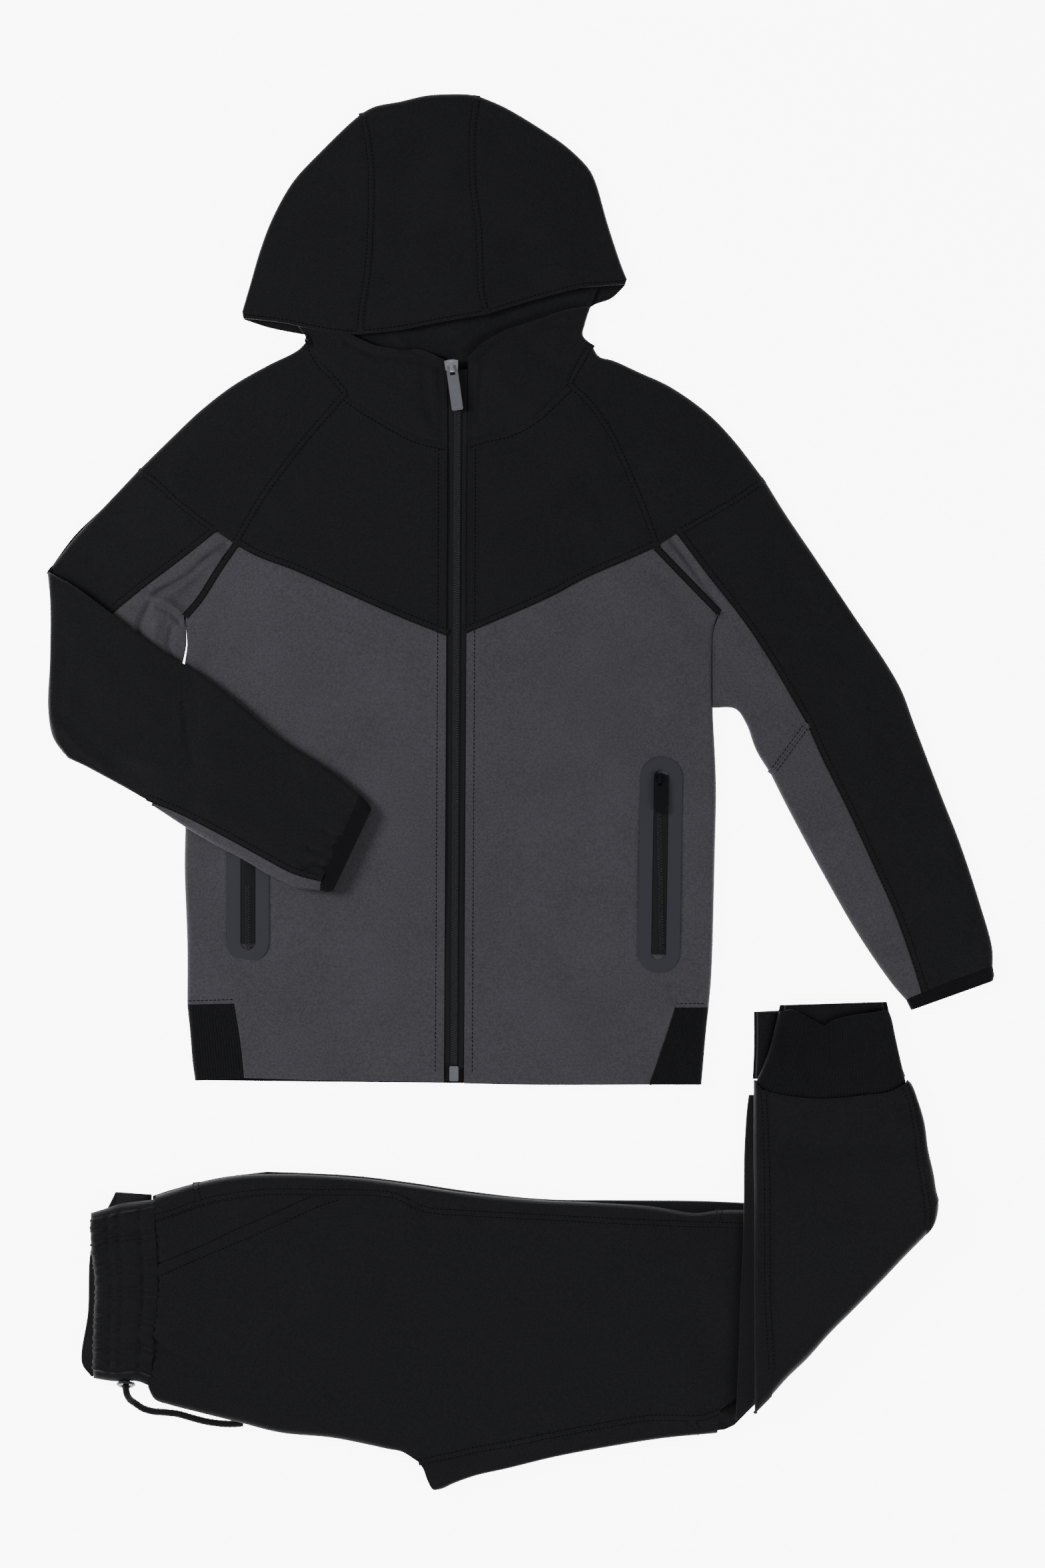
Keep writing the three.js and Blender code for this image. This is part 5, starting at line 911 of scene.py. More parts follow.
hood_right_seam = rail((-121, 343), (-119, 365), (-115, 393), (-112.5, 461), (-114.5, 485), (-119.5, 510))
hood_left_seam = rail((-26, 358), (-30, 376), (-32, 423), (-36, 453), (-37, 491), (-33.5, 523))
back_right_seam = rail((-121, 334.5), (-115, 393), (-112.5, 461), (-114.5, 485), (-119.5, 510))
back_left_seam = rail((-26, 330.5), (-32, 423), (-36, 453), (-37, 491), (-33.5, 523))
hood_hems = {
    "hood_side_right": rail((-208.5, 355), (-181.5, 352), (-157, 347), (-135.5, 343.5), (-121, 343)),
    "hood_center": rail((-121, 343), (-93, 346), (-71.5, 350), (-50.5, 354), (-26, 358)),
    "hood_side_left": rail((-26, 358), (-12, 362.5), (24.5, 373), (43.5, 377.5), (78, 380.5)),
}
hood_crowns = {
    "hood_side_right": rail((-209.5, 361), (-204, 380), (-195.5, 409), (-186, 433), (-171, 459),
                            (-150.5, 481),
                            (-129, 502), (-119.5, 510)),
    "hood_center": rail((-119.5, 510), (-110, 514.8), (-91, 518.5), (-71.5, 523), (-57, 524), (-42, 524),
                        (-33.5, 523)),
    "hood_side_left": rail((-33.5, 523), (-28, 521), (-11, 513.5), (21, 494), (35, 484), (51, 468), (56, 458),
                           (65, 427), (75.5, 395), (79.5, 385)),
}
hood_necks = {
    "hood_side_right": rail((-208.5, 355), (-190, 349), (-176, 346), (-160, 343), (-134, 336), (-121, 334.5)),
    "hood_center": rail((-121, 334.5), (-75, 330.5), (-26, 330.5)),
    "hood_side_left": rail((-26, 330.5), (0, 331), (38, 336), (52, 364), (68, 371), (78, 380.5)),
}
hood_sides = {
    "hood_side_right": (rail((-208.5, 355), (-209.5, 361)), hood_right_seam, None, back_right_seam),
    "hood_center": (hood_right_seam, hood_left_seam, back_right_seam, back_left_seam),
    "hood_side_left": (hood_left_seam, rail((78, 380.5), (79.5, 385)), back_left_seam, None),
}
for name, (first, last, back_first, back_last) in hood_sides.items():
    rows = 5 if name == "hood_center" else 7
    panel(name, BLACK, "laid", ["floor"], folded_grid(
        top=[(first, 7)], bottom=[(last, 7)], front=[(hood_hems[name], rows)],
        fold=[(hood_crowns[name], rows)],
        back=[(hood_necks[name], rows)], back_top=None if back_first is None else [(back_first, 7)],
        back_bottom=None if back_last is None else [(back_last, 7)], edge_seams=("top", "bottom"),
        inset=SEAM_GAP,
        level=hood_top, fine=(7, 6)))

lining_folds = [(-92, 340, -55, 34, 4, 1.2), (-70, 345, -30, 40, 4, -0.9), (-55, 332, 20, 40, 3, 0.9),
                (-40, 345, 35, 30, 3, -0.9), (-10, 352, 25, 30, 3, 0.6)]
panel("hood_lining", LINING, "laid", ["back_yoke"], sheet(
    top=[(rail((-150, 372), (-60, 392), (62, 392)), 8)],
    bottom=[(rail((-150, 346), (-110, 331), (-58, 317), (-38, 317), (0, 334), (50, 358)), 8)],
    left=[(rail((-150, 372), (-150, 346)), 4)], right=[(rail((62, 392), (50, 358)), 4)], fine=(10, 8),
    level=lambda x, y: 3.9 + fold_relief(lining_folds, x, y)), thickness=1.5)

# %% [markdown]
# Rib knit is raised in even ridges that run down from the seam. Here a rib is a whole wave of columns, so
# the ridges stay round, and the valley between two of them is the purl column of the knit.

# %% Hem ribs
def rib_relief(grid, ribs, height):
    columns = np.linspace(0, 1, grid.shape[1])
    wave = 0.5 - 0.5 * np.cos(2 * math.pi * ribs * columns)
    return np.tile(height * wave ** 0.8, (len(grid), 1))


rib_sides = {"right": rail((-251, -160), (-249, -179), (-247, -203), (-245, -217)),
             "left": rail((141, -162), (139, -180), (137, -203), (135.5, -220))}
rib_feet = {"right": rail((-208, -215), (-245, -217)), "left": rail((96, -220), (135.5, -220))}
for side in SIDES:
    line = seams[side]
    grid, outline = sheet(
        top=[(line["rib_top"], 26)], bottom=[(rib_feet[side], 26)], left=[(line["rib_inner"][::-1], 2)],
        right=[(rib_sides[side], 2)], folds={"right": FOLD_RADIUS}, seams=("top", "left"), fine=(6, 12),
        level=lambda x, y: 0 * x + PAIR_HEIGHT - 0.6 + ripple(x, y, 0.1), middle=upper_middle)
    dress(wall(f"cloth_hem_rib_{side}", grid, outline, relief=rib_relief(grid, 17, 0.5)), f"hem_rib_{side}",
          RIB, grid)
panel("hem_rib_back", RIB, "laid", ["floor"], sheet(
    top=[(back_hem, 8)], bottom=[(rail((-245, -217), (-55, -219), (135.5, -220)), 8)],
    left=[(rib_sides["right"], 3)], right=[(rib_sides["left"], 3)],
    folds={"left": FOLD_RADIUS, "right": FOLD_RADIUS}, seams=("top",), level=on_floor, middle=lower_middle,
    fine=(40, 4)), facing=-1)

# %% [markdown]
# The trousers are folded lengthwise and lie on their side, four layers high. Only the top panel, the strips
# beside its two seams and the layered edges show. The inner layers are one solid whose sides bulge once for
# each layer.

# %% Trouser surface
THIGH_HEIGHT = 11.6
leg_folds = [
    (-262, -421, 27, 44, 7, -1.5), (-246, -380, 8, 60, 9, 0.9), (-225, -452, -14, 70, 8, 0.8),
    (-68, -486, 38, 80, 9, 1.1), (108, -346, -108, 52, 6, 1.0), (10, -400, -6, 220, 20, 0.8),
]
leg_lines = [
    ([(114, -327), (112, -338), (107.5, -351), (101.5, -366)], 2.0, -1.2),
    ([(-274, -411), (-261, -420), (-246, -426)], 3.0, -1.4), ([(-250, -424), (-236, -401)], 3.5, -1.0),
    ([(-268, -405), (-255, -398), (-244, -390)], 5, 1.1),
    ([(-276, -432), (-258, -436), (-240, -440)], 4, 1.0),
    ([(-81, -306), (-71, -318), (-68, -335)], 3.5, -0.9), ([(-72, -500), (-60, -480), (-40, -470)], 4, -0.9),
    ([(-66, -515), (-50, -496)], 4, 0.8),
    ([(-270, -360), (-240, -346), (-205, -330), (-172, -317)], 2.2, 0.8),
]
leg_creases = [
    (-236, -401, 35, 50, 6, -0.8), (-258, -395, 5, 30, 4, 0.7), (-258, -370, -4, 34, 4, -0.6),
    (-260, -350, 3, 30, 4, 0.6), (-240, -345, 20, 60, 6, 0.6), (-258, -437, -6, 32, 4, 0.6),
    (-190, -440, -12, 120, 12, -0.5), (-150, -395, 6, 120, 14, 0.5), (-110, -450, -20, 110, 12, 0.6),
    (-60, -350, -12, 120, 12, -0.5), (-20, -455, 10, 120, 12, -0.5), (60, -430, 5, 130, 14, 0.5),
    (80, -370, -80, 60, 8, -0.5), (125, -400, -95, 90, 9, 0.6), (144, -430, -92, 60, 7, -0.6),
    (-80, -470, 40, 50, 6, -0.7), (-40, -505, 20, 40, 5, 0.6), (40, -350, -4, 90, 10, 0.5),
]


def leg_top(x, y):
    gathered = 1.6 * (1 - smooth(x, -276, -236))
    creases = fold_relief(leg_folds + leg_creases, x, y) + drawn_relief(leg_lines, x, y)
    return THIGH_HEIGHT + gathered + creases + ripple(x, y, 0.4)


LEG_MIDDLE = 6.3
leg_fold_middle = level_at(LEG_MIDDLE)
facing_top = [(-275.5, -319), (-261, -315), (-245, -309), (-225, -304), (-205, -301), (-185, -299.5)]
facing_mouth = [(-272.5, -354), (-241, -341), (-211, -327), (-181, -314)]
band_places = [(-277, -432), (-275, -416), (-276, -406), (-273, -386), (-272.5, -354)]
thigh = {
    "top_edge": rail((-274, -303), (-261, -299), (-244, -294), (-211, -288), (-175, -287), (-121, -290),
                     (-81, -295), (-41, -301), (15, -306.5), (48.5, -308), (97, -311), (130.5, -316),
                     (149, -314),
                     (192, -314)),
    "side_start": rail(*facing_top, (-150, -300)),
    "side_seam": rail((-150, -300), (-131, -300), (-105, -301), (-93, -303), (-81, -309), (-71, -313),
                      (-33.5, -316), (3.5, -318), (41, -320), (78.5, -322), (106.5, -323), (134.5, -324),
                      (192, -325.5)),
    "pocket_mouth": rail(*facing_mouth, (-150, -300)),
    "band_seam": rail((-280, -447), *band_places),
    "front_fold": rail((-280, -447), (-275, -456), (-264, -460), (-241, -466), (-213, -473), (-181, -481),
                       (-141, -485), (-101, -493), (-89, -495), (-77, -502)),
    "inseam": rail((-77, -502), (-52.5, -497), (-30, -492), (-11, -489), (22.5, -482), (59.5, -475),
                   (97, -469),
                   (115.5, -469), (134.5, -469), (149, -464)),
    "crotch": rail((-77, -502), (-73.5, -507), (-71, -514), (-67, -522), (-64, -524)),
    "lower_edge": rail((-64, -524), (-59, -523), (-50.5, -519), (-33.5, -513), (-11, -508), (26, -499),
                       (69, -491),
                       (108, -485), (147, -481.3)),
}

# %% Thigh panels
panel("left_leg_front", BLACK, "folded", ["legs_hidden_layers"], sheet(
    top=[(thigh["band_seam"], 6)], bottom=[(rail((149, -464), (174, -440), (192, -325.5)), 6)],
    left=[(thigh["front_fold"], 6), (thigh["inseam"], 6)],
    right=[(thigh["pocket_mouth"], 4), (thigh["side_seam"], 8)],
    folds={"left": FOLD_RADIUS}, fold_rows={"left": (6, 5)}, seams=("top", "left", "right"), level=leg_top,
    middle=leg_fold_middle, fine=(9, 14)))
panel("left_pocket_facing", BLACK, "folded", ["legs_hidden_layers"], sheet(
    top=[(rail((-275.5, -319), (-272.5, -354)), 3)], bottom=[(rail((-157, -299.6), (-156, -302.6)), 3)],
    left=[(rail(*facing_top, (-157, -299.6)), 5)], right=[(rail(*facing_mouth, (-156, -302.6)), 5)],
    seams=("top", "left", "right"), level=lambda x, y: leg_top(x, y) - 0.5, fine=(5, 9)), thickness=1.4)
panel("left_leg_side", BLACK, "folded", ["legs_hidden_layers"], sheet(
    top=[(thigh["top_edge"], 13)], bottom=[(thigh["side_start"], 5), (thigh["side_seam"], 8)],
    left=[(rail((-274, -303), (-275.5, -319)), 1)], right=[(rail((192, -314), (192, -325.5)), 1)],
    folds={"top": FOLD_RADIUS}, seams=("left", "bottom"), level=leg_top, middle=leg_fold_middle,
    fine=(12, 5)))
panel("left_leg_inseam", BLACK, "folded", ["legs_hidden_layers"], sheet(
    top=[(thigh["inseam"], 6)], bottom=[(thigh["lower_edge"], 6)], left=[(thigh["crotch"], 2)],
    right=[(rail((149, -464), (147, -481.3)), 2)], folds={"bottom": FOLD_RADIUS}, seams=("top",),
    level=leg_top,
    middle=leg_fold_middle, fine=(14, 4)))

# %% [markdown]
# The hidden layers are swept along the leg from sections. Each side of a section bulges twice, for the two
# layers that reach the outline, and steps in where the upper two layers have their own folded edge.

# %% Hidden layers with a layered edge
LAYER_PROFILE = [(1.4, 0), (0.5, 0.08), (0.1, 0.22), (0.25, 0.38), (1.0, 0.5), (0.2, 0.62), (0, 0.76),
                 (0.35, 0.92),
                 (1.2, 1)]


def layered_panel(name, slot, lower_a, upper_a, lower_b, upper_b, fine, low=on_floor,
                  step=5.6,
                  height=9.2, rise=()):
    runs = [run_along(parts, fine) for parts in (lower_a, upper_a, lower_b, upper_b)]
    count = len(runs[0])
    lifts = np.interp(np.arange(count) / fine, np.arange(len(rise)), rise) if len(rise) else np.zeros(count)
    inward = runs[2] - runs[0]
    inward /= np.linalg.norm(inward, axis=1)[:, None]
    sections = []
    edges = ((runs[0], runs[1], inward, False), (runs[2], runs[3], -inward, True))
    for edge, upper, direction, reverse in edges:
        points = [(edge + direction * depth, part * step) for depth, part in LAYER_PROFILE]
        points += [(upper, step + 0.1), (upper + direction * 0.2, (step + height) / 2),
                   (upper + direction * 0.9, height)]
        sections += points[::-1] if reverse else points
    grid = np.stack([np.column_stack([flat, z + lifts * (height - z) + low(flat[:, 0], flat[:, 1])])
                     for flat, z in sections], axis=1)
    rows, columns = grid.shape[:2]
    index = np.arange(rows * columns).reshape(rows, columns)
    here, right = index, np.roll(index, -1, axis=1)
    faces = np.stack([here[:-1], right[:-1], right[1:], here[1:]], -1).reshape(-1, 4).tolist()
    faces += [index[0][::-1].tolist(), index[-1].tolist()]
    first, second = (grid[0, 0] + grid[0, -1]) / 2, (grid[1, 0] + grid[1, -1]) / 2
    across = grid[0, -1] - grid[0, 0]
    if across[0] * (second - first)[1] - across[1] * (second - first)[0] < 0:
        faces = [face[::-1] for face in faces]
    dress(add_piece(f"cloth_{name}", grid.reshape(-1, 3), faces), name, slot, grid[:, :-1])


layered_panel(
    "legs_hidden_layers", BLACK,
    lower_a=[(rail((-279.5, -448), (-264, -459.5), (-241, -465.5), (-229, -468)), 2),
             (rail((-229, -468), (-216, -466), (-203, -468), (-192, -477)), 3),
             (rail((-192, -477), (-161, -482.5), (-121, -488.5), (-89, -494.5), (-73.5, -506), (-64, -523),
                   (-50.5, -518.5), (-11, -507.5), (26, -498.5), (69, -490.5), (108, -484.5), (153, -479)),
                   9),
             (rail((153, -479), (160, -475)), 2)],
    upper_a=[(rail((-279, -441), (-264, -453), (-241, -459.5), (-229, -462)), 2),
             (rail((-229, -462), (-203, -467), (-192, -471)), 3),
             (rail((-192, -471), (-161, -476.5), (-121, -482.5), (-89, -488.5), (-73.5, -498), (-64, -516),
                   (-50.5, -513), (-11, -502), (26, -493), (69, -485), (108, -479), (147, -468)), 9),
             (rail((147, -468), (151, -461)), 2)],
    lower_b=[(rail((-276.7, -303.5), (-261, -298.5), (-229, -290.5), (-191, -285.5)), 3),
             (rail((-191, -285.5), (-151, -287), (-121, -289), (-81, -294), (-41, -300), (15, -306),
                   (78.5, -307),
                   (149, -308), (230, -314), (295, -324)), 11),
             (rail((295, -324), (302, -333)), 2)],
    upper_b=[(rail((-276.7, -308), (-261, -303), (-229, -295), (-191, -291.5)), 3),
             (rail((-191, -291.5), (-121, -294.5), (-81, -299.5), (-41, -305.5), (15, -311), (48.5, -312.5),
                   (97, -315.5), (130.5, -320.5), (149, -318.5), (230, -320), (288, -328)), 11),
             (rail((288, -328), (296, -337)), 2)],
    fine=8, rise=[0] * 14 + [0.14, 0.5, 0.8])

# %% [markdown]
# The waistband is gathered on two rows of elastic: between the stitched channels the cloth stands up in
# small ruffles, and at the channels it is held down. The back half of the band shows beside the front half.

# %% Waistband
BAND_GATHERS = 20
BAND_FINE = 6


def band_top(x, y):
    return 14 - 1.2 * smooth(x, -292, -277) + ripple(x, y, 0.25)


grid, outline = sheet(
    top=[(rail((-323, -316), (-310, -312), (-301, -309), (-285, -307), (-273.8, -305.6)), 4)],
    bottom=[(rail((-321, -440), (-305, -442.3), (-288, -442.3), (-278.4, -446)), 4)],
    left=[(rail((-323, -316), (-322, -340), (-319, -369), (-320, -398), (-321, -440)), 2 * BAND_GATHERS)],
    right=[(rail((-273.8, -305.6), (-274.5, -319), *band_places[::-1], (-278.4, -446)), 2 * BAND_GATHERS)],
    folds={"left": FOLD_RADIUS, "top": FOLD_RADIUS, "bottom": 6}, seams=("right",), inset=0.2, level=band_top,
    middle=level_at(7.6), fine=(6, BAND_FINE))
row = (np.arange(len(grid)) - QUARTER_STEPS) / (2 * BAND_FINE)
column = np.linspace(0, 1, grid.shape[1])
unevenness = 0.8 + 0.25 * np.sin(4.2 * row) + 0.2 * np.sin(11 * row + 1)
lean = 0.16 * np.sin(7 * column[None] + 2.3 * np.sin(row)[:, None]) + 0.3 * np.sin(1.9 * row)[:, None]
ruffle = (0.5 - 0.5 * np.cos(2 * math.pi * (row[:, None] + lean))) ** 1.3
channels = 1 - 0.85 * sum(np.exp(-(((column - at) / 0.03) ** 2)) for at in (0.36, 0.52, 0.80))
inside = smooth(row, -0.2, 0.5) * (1 - smooth(row, BAND_GATHERS - 0.5, BAND_GATHERS + 0.2))
puff = 0.9 * (channels - 0.3)[None] * inside[:, None]
relief = 1.6 * ruffle * unevenness[:, None] * channels[None] * inside[:, None]
relief = relief * smooth(column, 0, 0.1)[None] + puff
dress(wall("cloth_waistband_front", grid, outline, relief=relief), "waistband_front", BLACK, grid)

layered_panel(
    "waistband_back", BLACK,
    step=6.8, height=10.3, fine=8,
    lower_a=[(rail((-305, -301), (-322.5, -340), (-325.5, -391), (-330, -429), (-323, -439)), 8)],
    upper_a=[(rail((-303, -317), (-317, -340), (-314.5, -369), (-315.5, -398), (-316, -434)), 8)],
    lower_b=[(rail((-277.6, -303), (-278.2, -340), (-279.2, -386), (-281.5, -416), (-285, -440)), 8)],
    upper_b=[(rail((-283, -314), (-281, -354), (-281.5, -386), (-283, -416), (-287, -434)), 8)])

# %% [markdown]
# The lower legs are folded up over the thighs along a diagonal. Their cloth lies on the thighs, then slopes
# down past the upper edge, so that the ankle cuffs lie on the table.

# %% Shins
shin_folds = [
    (262, -352, -44, 90, 9, 0.9), (214, -262, 76, 70, 9, -0.8), (300, -312, -50, 26, 5, 0.9),
    (240, -300, 80, 90, 12, 0.5), (215, -380, 60, 80, 10, -0.6), (200, -330, 88, 90, 9, 0.5),
    (270, -280, 70, 70, 9, -0.5), (235, -345, 40, 80, 9, 0.5), (205, -425, 45, 50, 6, 0.7),
    (255, -240, 88, 40, 6, 0.5), (210, -240, 84, 40, 5, 0.5),
]


TIP_DIAGONAL = 618


def shin_base(x, y):
    return (THIGH_HEIGHT + REST_GAP) * (1 - smooth(y, -308, -262))


def shin_top(x, y):
    return shin_base(x, y) + THIGH_HEIGHT + fold_relief(shin_folds, x, y) + ripple(x, y, 0.25)


def shin_middle(x, y):
    return shin_base(x, y) + LEG_MIDDLE


def shin_foot(x, y):
    """The middle of the layers. Past the diagonal at the tip, the top layer goes down to the thigh."""
    return np.where(x - y > TIP_DIAGONAL, shin_base(x, y) + 0.4, shin_middle(x, y))


shin_left_seam = rail((181.5, -223.6), (183.5, -263), (183.5, -333), (184, -380), (186, -415), (187.5, -452))
shin_right_seam = rail((287, -219.5), (292.5, -233), (296, -251), (298, -268), (300.5, -291), (303, -310),
                       (303, -332))
shin_outer_edge = rail((290, -216), (293, -219), (298.5, -233), (303, -249), (305.5, -268), (309, -286),
                       (310.5, -298), (312.5, -307), (311.5, -317), (309, -324), (304.5, -330.5))
panel("left_shin_front", BLACK, "folded", ["shins_hidden_layers"], sheet(
    top=[(rail((181.5, -223.6), (195.5, -227), (209.5, -229), (223.5, -230), (242.5, -229), (258.5, -227),
               (275, -225), (287, -219.5)), 8)],
    bottom=[(rail((187.5, -452), (199, -439), (214.5, -424), (230.5, -406), (249.5, -387), (269, -367),
                  (289, -346),
                  (303, -332)), 8)],
    left=[(shin_left_seam, 9)], right=[(shin_right_seam, 9)], folds={"bottom": 9},
    seams=("top", "left", "right"),
    inset=0.04, level=shin_top, middle=shin_foot, fine=(6, 8)))
panel("left_shin_side_inner", BLACK, "folded", ["shins_hidden_layers"], sheet(
    top=[(rail((174.5, -216.4), (181.5, -223.6)), 1)], bottom=[(rail((174.5, -465), (187.5, -452)), 1)],
    left=[(rail((174.5, -216.4), (174, -300), (174, -380), (174.5, -465)), 9)], right=[(shin_left_seam, 9)],
    folds={"left": FOLD_RADIUS, "bottom": 9}, seams=("top", "right"), inset=0.04, level=shin_top,
    middle=shin_middle, fine=(4, 8)))
panel("left_shin_side_outer", BLACK, "folded", ["shins_hidden_layers"], sheet(
    top=[(rail((287, -219.5), (290, -216)), 1)], bottom=[(rail((303, -332), (304.5, -330.5)), 1)],
    left=[(shin_right_seam, 9)], right=[(shin_outer_edge, 9)], folds={"right": FOLD_RADIUS, "bottom": 9},
    seams=("top", "left"), level=shin_top, middle=shin_foot, fine=(4, 8)))
layered_panel(
    "shins_hidden_layers", BLACK,
    low=shin_base, step=5.0, height=7.6, fine=6,
    lower_a=[(rail((171, -228), (169.5, -240), (168, -263), (167, -286), (166.5, -307), (166, -333),
                   (164, -380),
                   (162.5, -426), (160.5, -470)), 11)],
    upper_a=[(rail((178, -228), (177.5, -300), (177.5, -380), (177.8, -455)), 11)],
    lower_b=[(rail((289, -224), (295.5, -240), (300.5, -262), (304, -282), (306, -296), (307, -310),
                   (304, -322),
                   (290, -338), (264, -365), (225, -404), (169, -461)), 11)],
    upper_b=[(rail((284, -226), (290, -242), (294, -262), (296.5, -282), (298.5, -300), (298, -318),
                   (286, -333),
                   (258, -361), (220, -399), (184, -440)), 11)])

# %% [markdown]
# The ankle cuffs are rib knit, narrower than the leg, which is gathered into them. The ribs spread towards
# the seam, and the end of the upper layer dips in a shallow V.

# %% Ankle cuffs
CUFF_HEIGHT = 9.2
grid, outline = sheet(
    top=[(rail((193.5, -165), (202.5, -163.5), (209.5, -166), (219, -171), (228.5, -175), (234, -171.5),
               (247, -168), (261, -166), (275.5, -163.5)), 64)],
    bottom=[(rail((175.5, -219.4), (184, -227.5), (195.5, -231), (209.5, -233), (223.5, -234), (242.5, -233),
                  (258.5, -231), (275, -229), (284.5, -225), (289, -219)), 64)],
    left=[(rail((193.5, -165), (190, -179), (186.5, -193), (181.5, -206), (175.5, -219.4)), 2)],
    right=[(rail((275.5, -163.5), (278, -170), (281, -184), (284.5, -200), (289, -219)), 2)],
    folds={"left": FOLD_RADIUS, "right": FOLD_RADIUS}, seams=("bottom",), inset=0.3, fine=(5, 12),
    level=lambda x, y: CUFF_HEIGHT + 0.6 * smooth(y, -222, -205) + ripple(x, y, 0.3),
    middle=level_at(6.0))
dress(wall("cloth_ankle_cuff_left_front", grid, outline, relief=rib_relief(grid, 46, 0.55)),
      "ankle_cuff_left_front",
      RIB, grid)
layered_panel(
    "ankle_cuff_left_back", RIB,
    step=3.4, height=6.6, fine=8,
    lower_a=[(rail((194.5, -160.5), (190.5, -179), (187, -193), (182, -206), (175.5, -214)), 3)],
    upper_a=[(rail((198, -160.5), (194, -179), (190.5, -193), (185.5, -206), (181, -216)), 3)],
    lower_b=[(rail((275, -158), (277.5, -170), (280.5, -184), (284, -200), (289, -214)), 3)],
    upper_b=[(rail((271.5, -158), (274, -170), (277, -184), (280.5, -200), (284.5, -215)), 3)])
layered_panel(
    "ankle_cuff_right", RIB,
    step=2.6, height=5.4, fine=8,
    lower_a=[(rail((175, -165.5), (175, -193), (174, -216)), 3)],
    upper_a=[(rail((177, -166), (177, -193), (176, -215)), 3)],
    lower_b=[(rail((196, -164.5), (189.5, -193), (184, -216)), 3)],
    upper_b=[(rail((195, -165.5), (188.5, -193), (183, -215)), 3)])

# %% [markdown]
# Stitches and zip coils are the same small shape hundreds of times over, so Geometry Nodes place them. A
# cloud of points holds where each one goes and how it is turned, and the tree puts one copy on every point.

# %% A tree that places one shape on many points
def placing_tree():
    tree = bpy.data.node_groups.new("place_on_points", "GeometryNodeTree")
    for name, kind in (("Points", "Geometry"), ("Shape", "Object"), ("Material", "Material"),
                       ("Size", "Float")):
        tree.interface.new_socket(name, in_out="INPUT", socket_type=f"NodeSocket{kind}")
    tree.interface.new_socket("Placed", in_out="OUTPUT", socket_type="NodeSocketGeometry")
    given = node(tree, "NodeGroupInput")
    turn = node(tree, "GeometryNodeInputNamedAttribute", {"data_type": "FLOAT_VECTOR"}, Name="turn")
    shape = node(tree, "GeometryNodeObjectInfo", Object=given.outputs["Shape"])
    rotation = node(tree, "FunctionNodeEulerToRotation", Euler=turn.outputs["Attribute"])
    size = node(tree, "ShaderNodeCombineXYZ", **{axis: given.outputs["Size"] for axis in "XYZ"})
    placed = node(tree, "GeometryNodeInstanceOnPoints", Points=given.outputs["Points"],
                  Instance=shape.outputs["Geometry"], Rotation=rotation.outputs["Rotation"],
                  Scale=size.outputs["Vector"])
    real = node(tree, "GeometryNodeRealizeInstances", Geometry=placed.outputs["Instances"])
    finished = node(tree, "GeometryNodeSetMaterial", Geometry=real.outputs["Geometry"],
                    Material=given.outputs["Material"])
    node(tree, "NodeGroupOutput", Placed=finished.outputs["Geometry"])
    return tree


place_on_points = placing_tree()


def place_copies(name, places, turned, shape, material, size=1.0):
    """The places are in millimetres and the turns are (x, y, z) angles in radians."""
    cloud = bpy.data.meshes.new(name)
    cloud.from_pydata((np.asarray(places) * MM).tolist(), [], [])
    attribute = cloud.attributes.new("turn", "FLOAT_VECTOR", "POINT")
    attribute.data.foreach_set("vector", np.asarray(turned, dtype=float).ravel())
    holder = bpy.data.objects.new(name, cloud)
    bpy.context.scene.collection.objects.link(holder)
    modifier = holder.modifiers.new("place", "NODES")
    modifier.node_group = place_on_points
    sockets = {item.name: item.identifier for item in place_on_points.interface.items_tree
               if item.item_type == "SOCKET" and item.in_out == "INPUT"}
    for socket, value in (("Shape", shape), ("Material", material), ("Size", size)):
        modifier[sockets[socket]] = value
    evaluated = holder.evaluated_get(bpy.context.evaluated_depsgraph_get())
    plain = bpy.data.meshes.new_from_object(evaluated)
    holder.modifiers.remove(modifier)
    holder.data = plain
    plain.name = name
    bpy.data.meshes.remove(cloud)
    ride_set(holder)
    print(f"{name}: {len(places)} copies, {len(plain.polygons)} faces")


# %% [markdown]
# A stitch is a short bar of thread, thinner at its two ends where it goes into the cloth.

# %% Stitch shape
def bar_shape(name, length, width, height, sides=6):
    lengths = [-0.5, -0.3, 0.3, 0.5]
    sizes = [0.35, 1, 1, 0.35]
    angles = np.linspace(0, 2 * math.pi, sides, endpoint=False)
    places = [(length * at, 0.5 * width * size * math.cos(a), 0.5 * height * size * math.sin(a))
              for at, size in zip(lengths, sizes) for a in angles]
    faces = [(r * sides + k, r * sides + (k + 1) % sides, (r + 1) * sides + (k + 1) % sides,
              (r + 1) * sides + k)
             for r in range(3) for k in range(sides)]
    ends = [tuple(range(sides)), tuple(range(4 * sides - 1, 3 * sides - 1, -1))]
    return add_piece(name, places, [face[::-1] for face in faces] + ends)


stitch = bar_shape("stitch_shape", 2.3, 0.62, 0.5, sides=4)

# %% [markdown]
# The joins are coverstitched with two needles: two rows of stitches, one on each side of the seam, about 5
# mm apart. Hems and openings have one or two rows beside their edge. A row is placed by moving its rail
# sideways.

# %% Rows of stitches
STITCH_PITCH, SLOPE_REACH = 3.1, 1.2


def shifted(line, aside):
    way = np.gradient(line, axis=0)
    way /= np.maximum(np.linalg.norm(way, axis=1), 1e-9)[:, None]
    return line + aside * np.stack([-way[:, 1], way[:, 0]], axis=1)


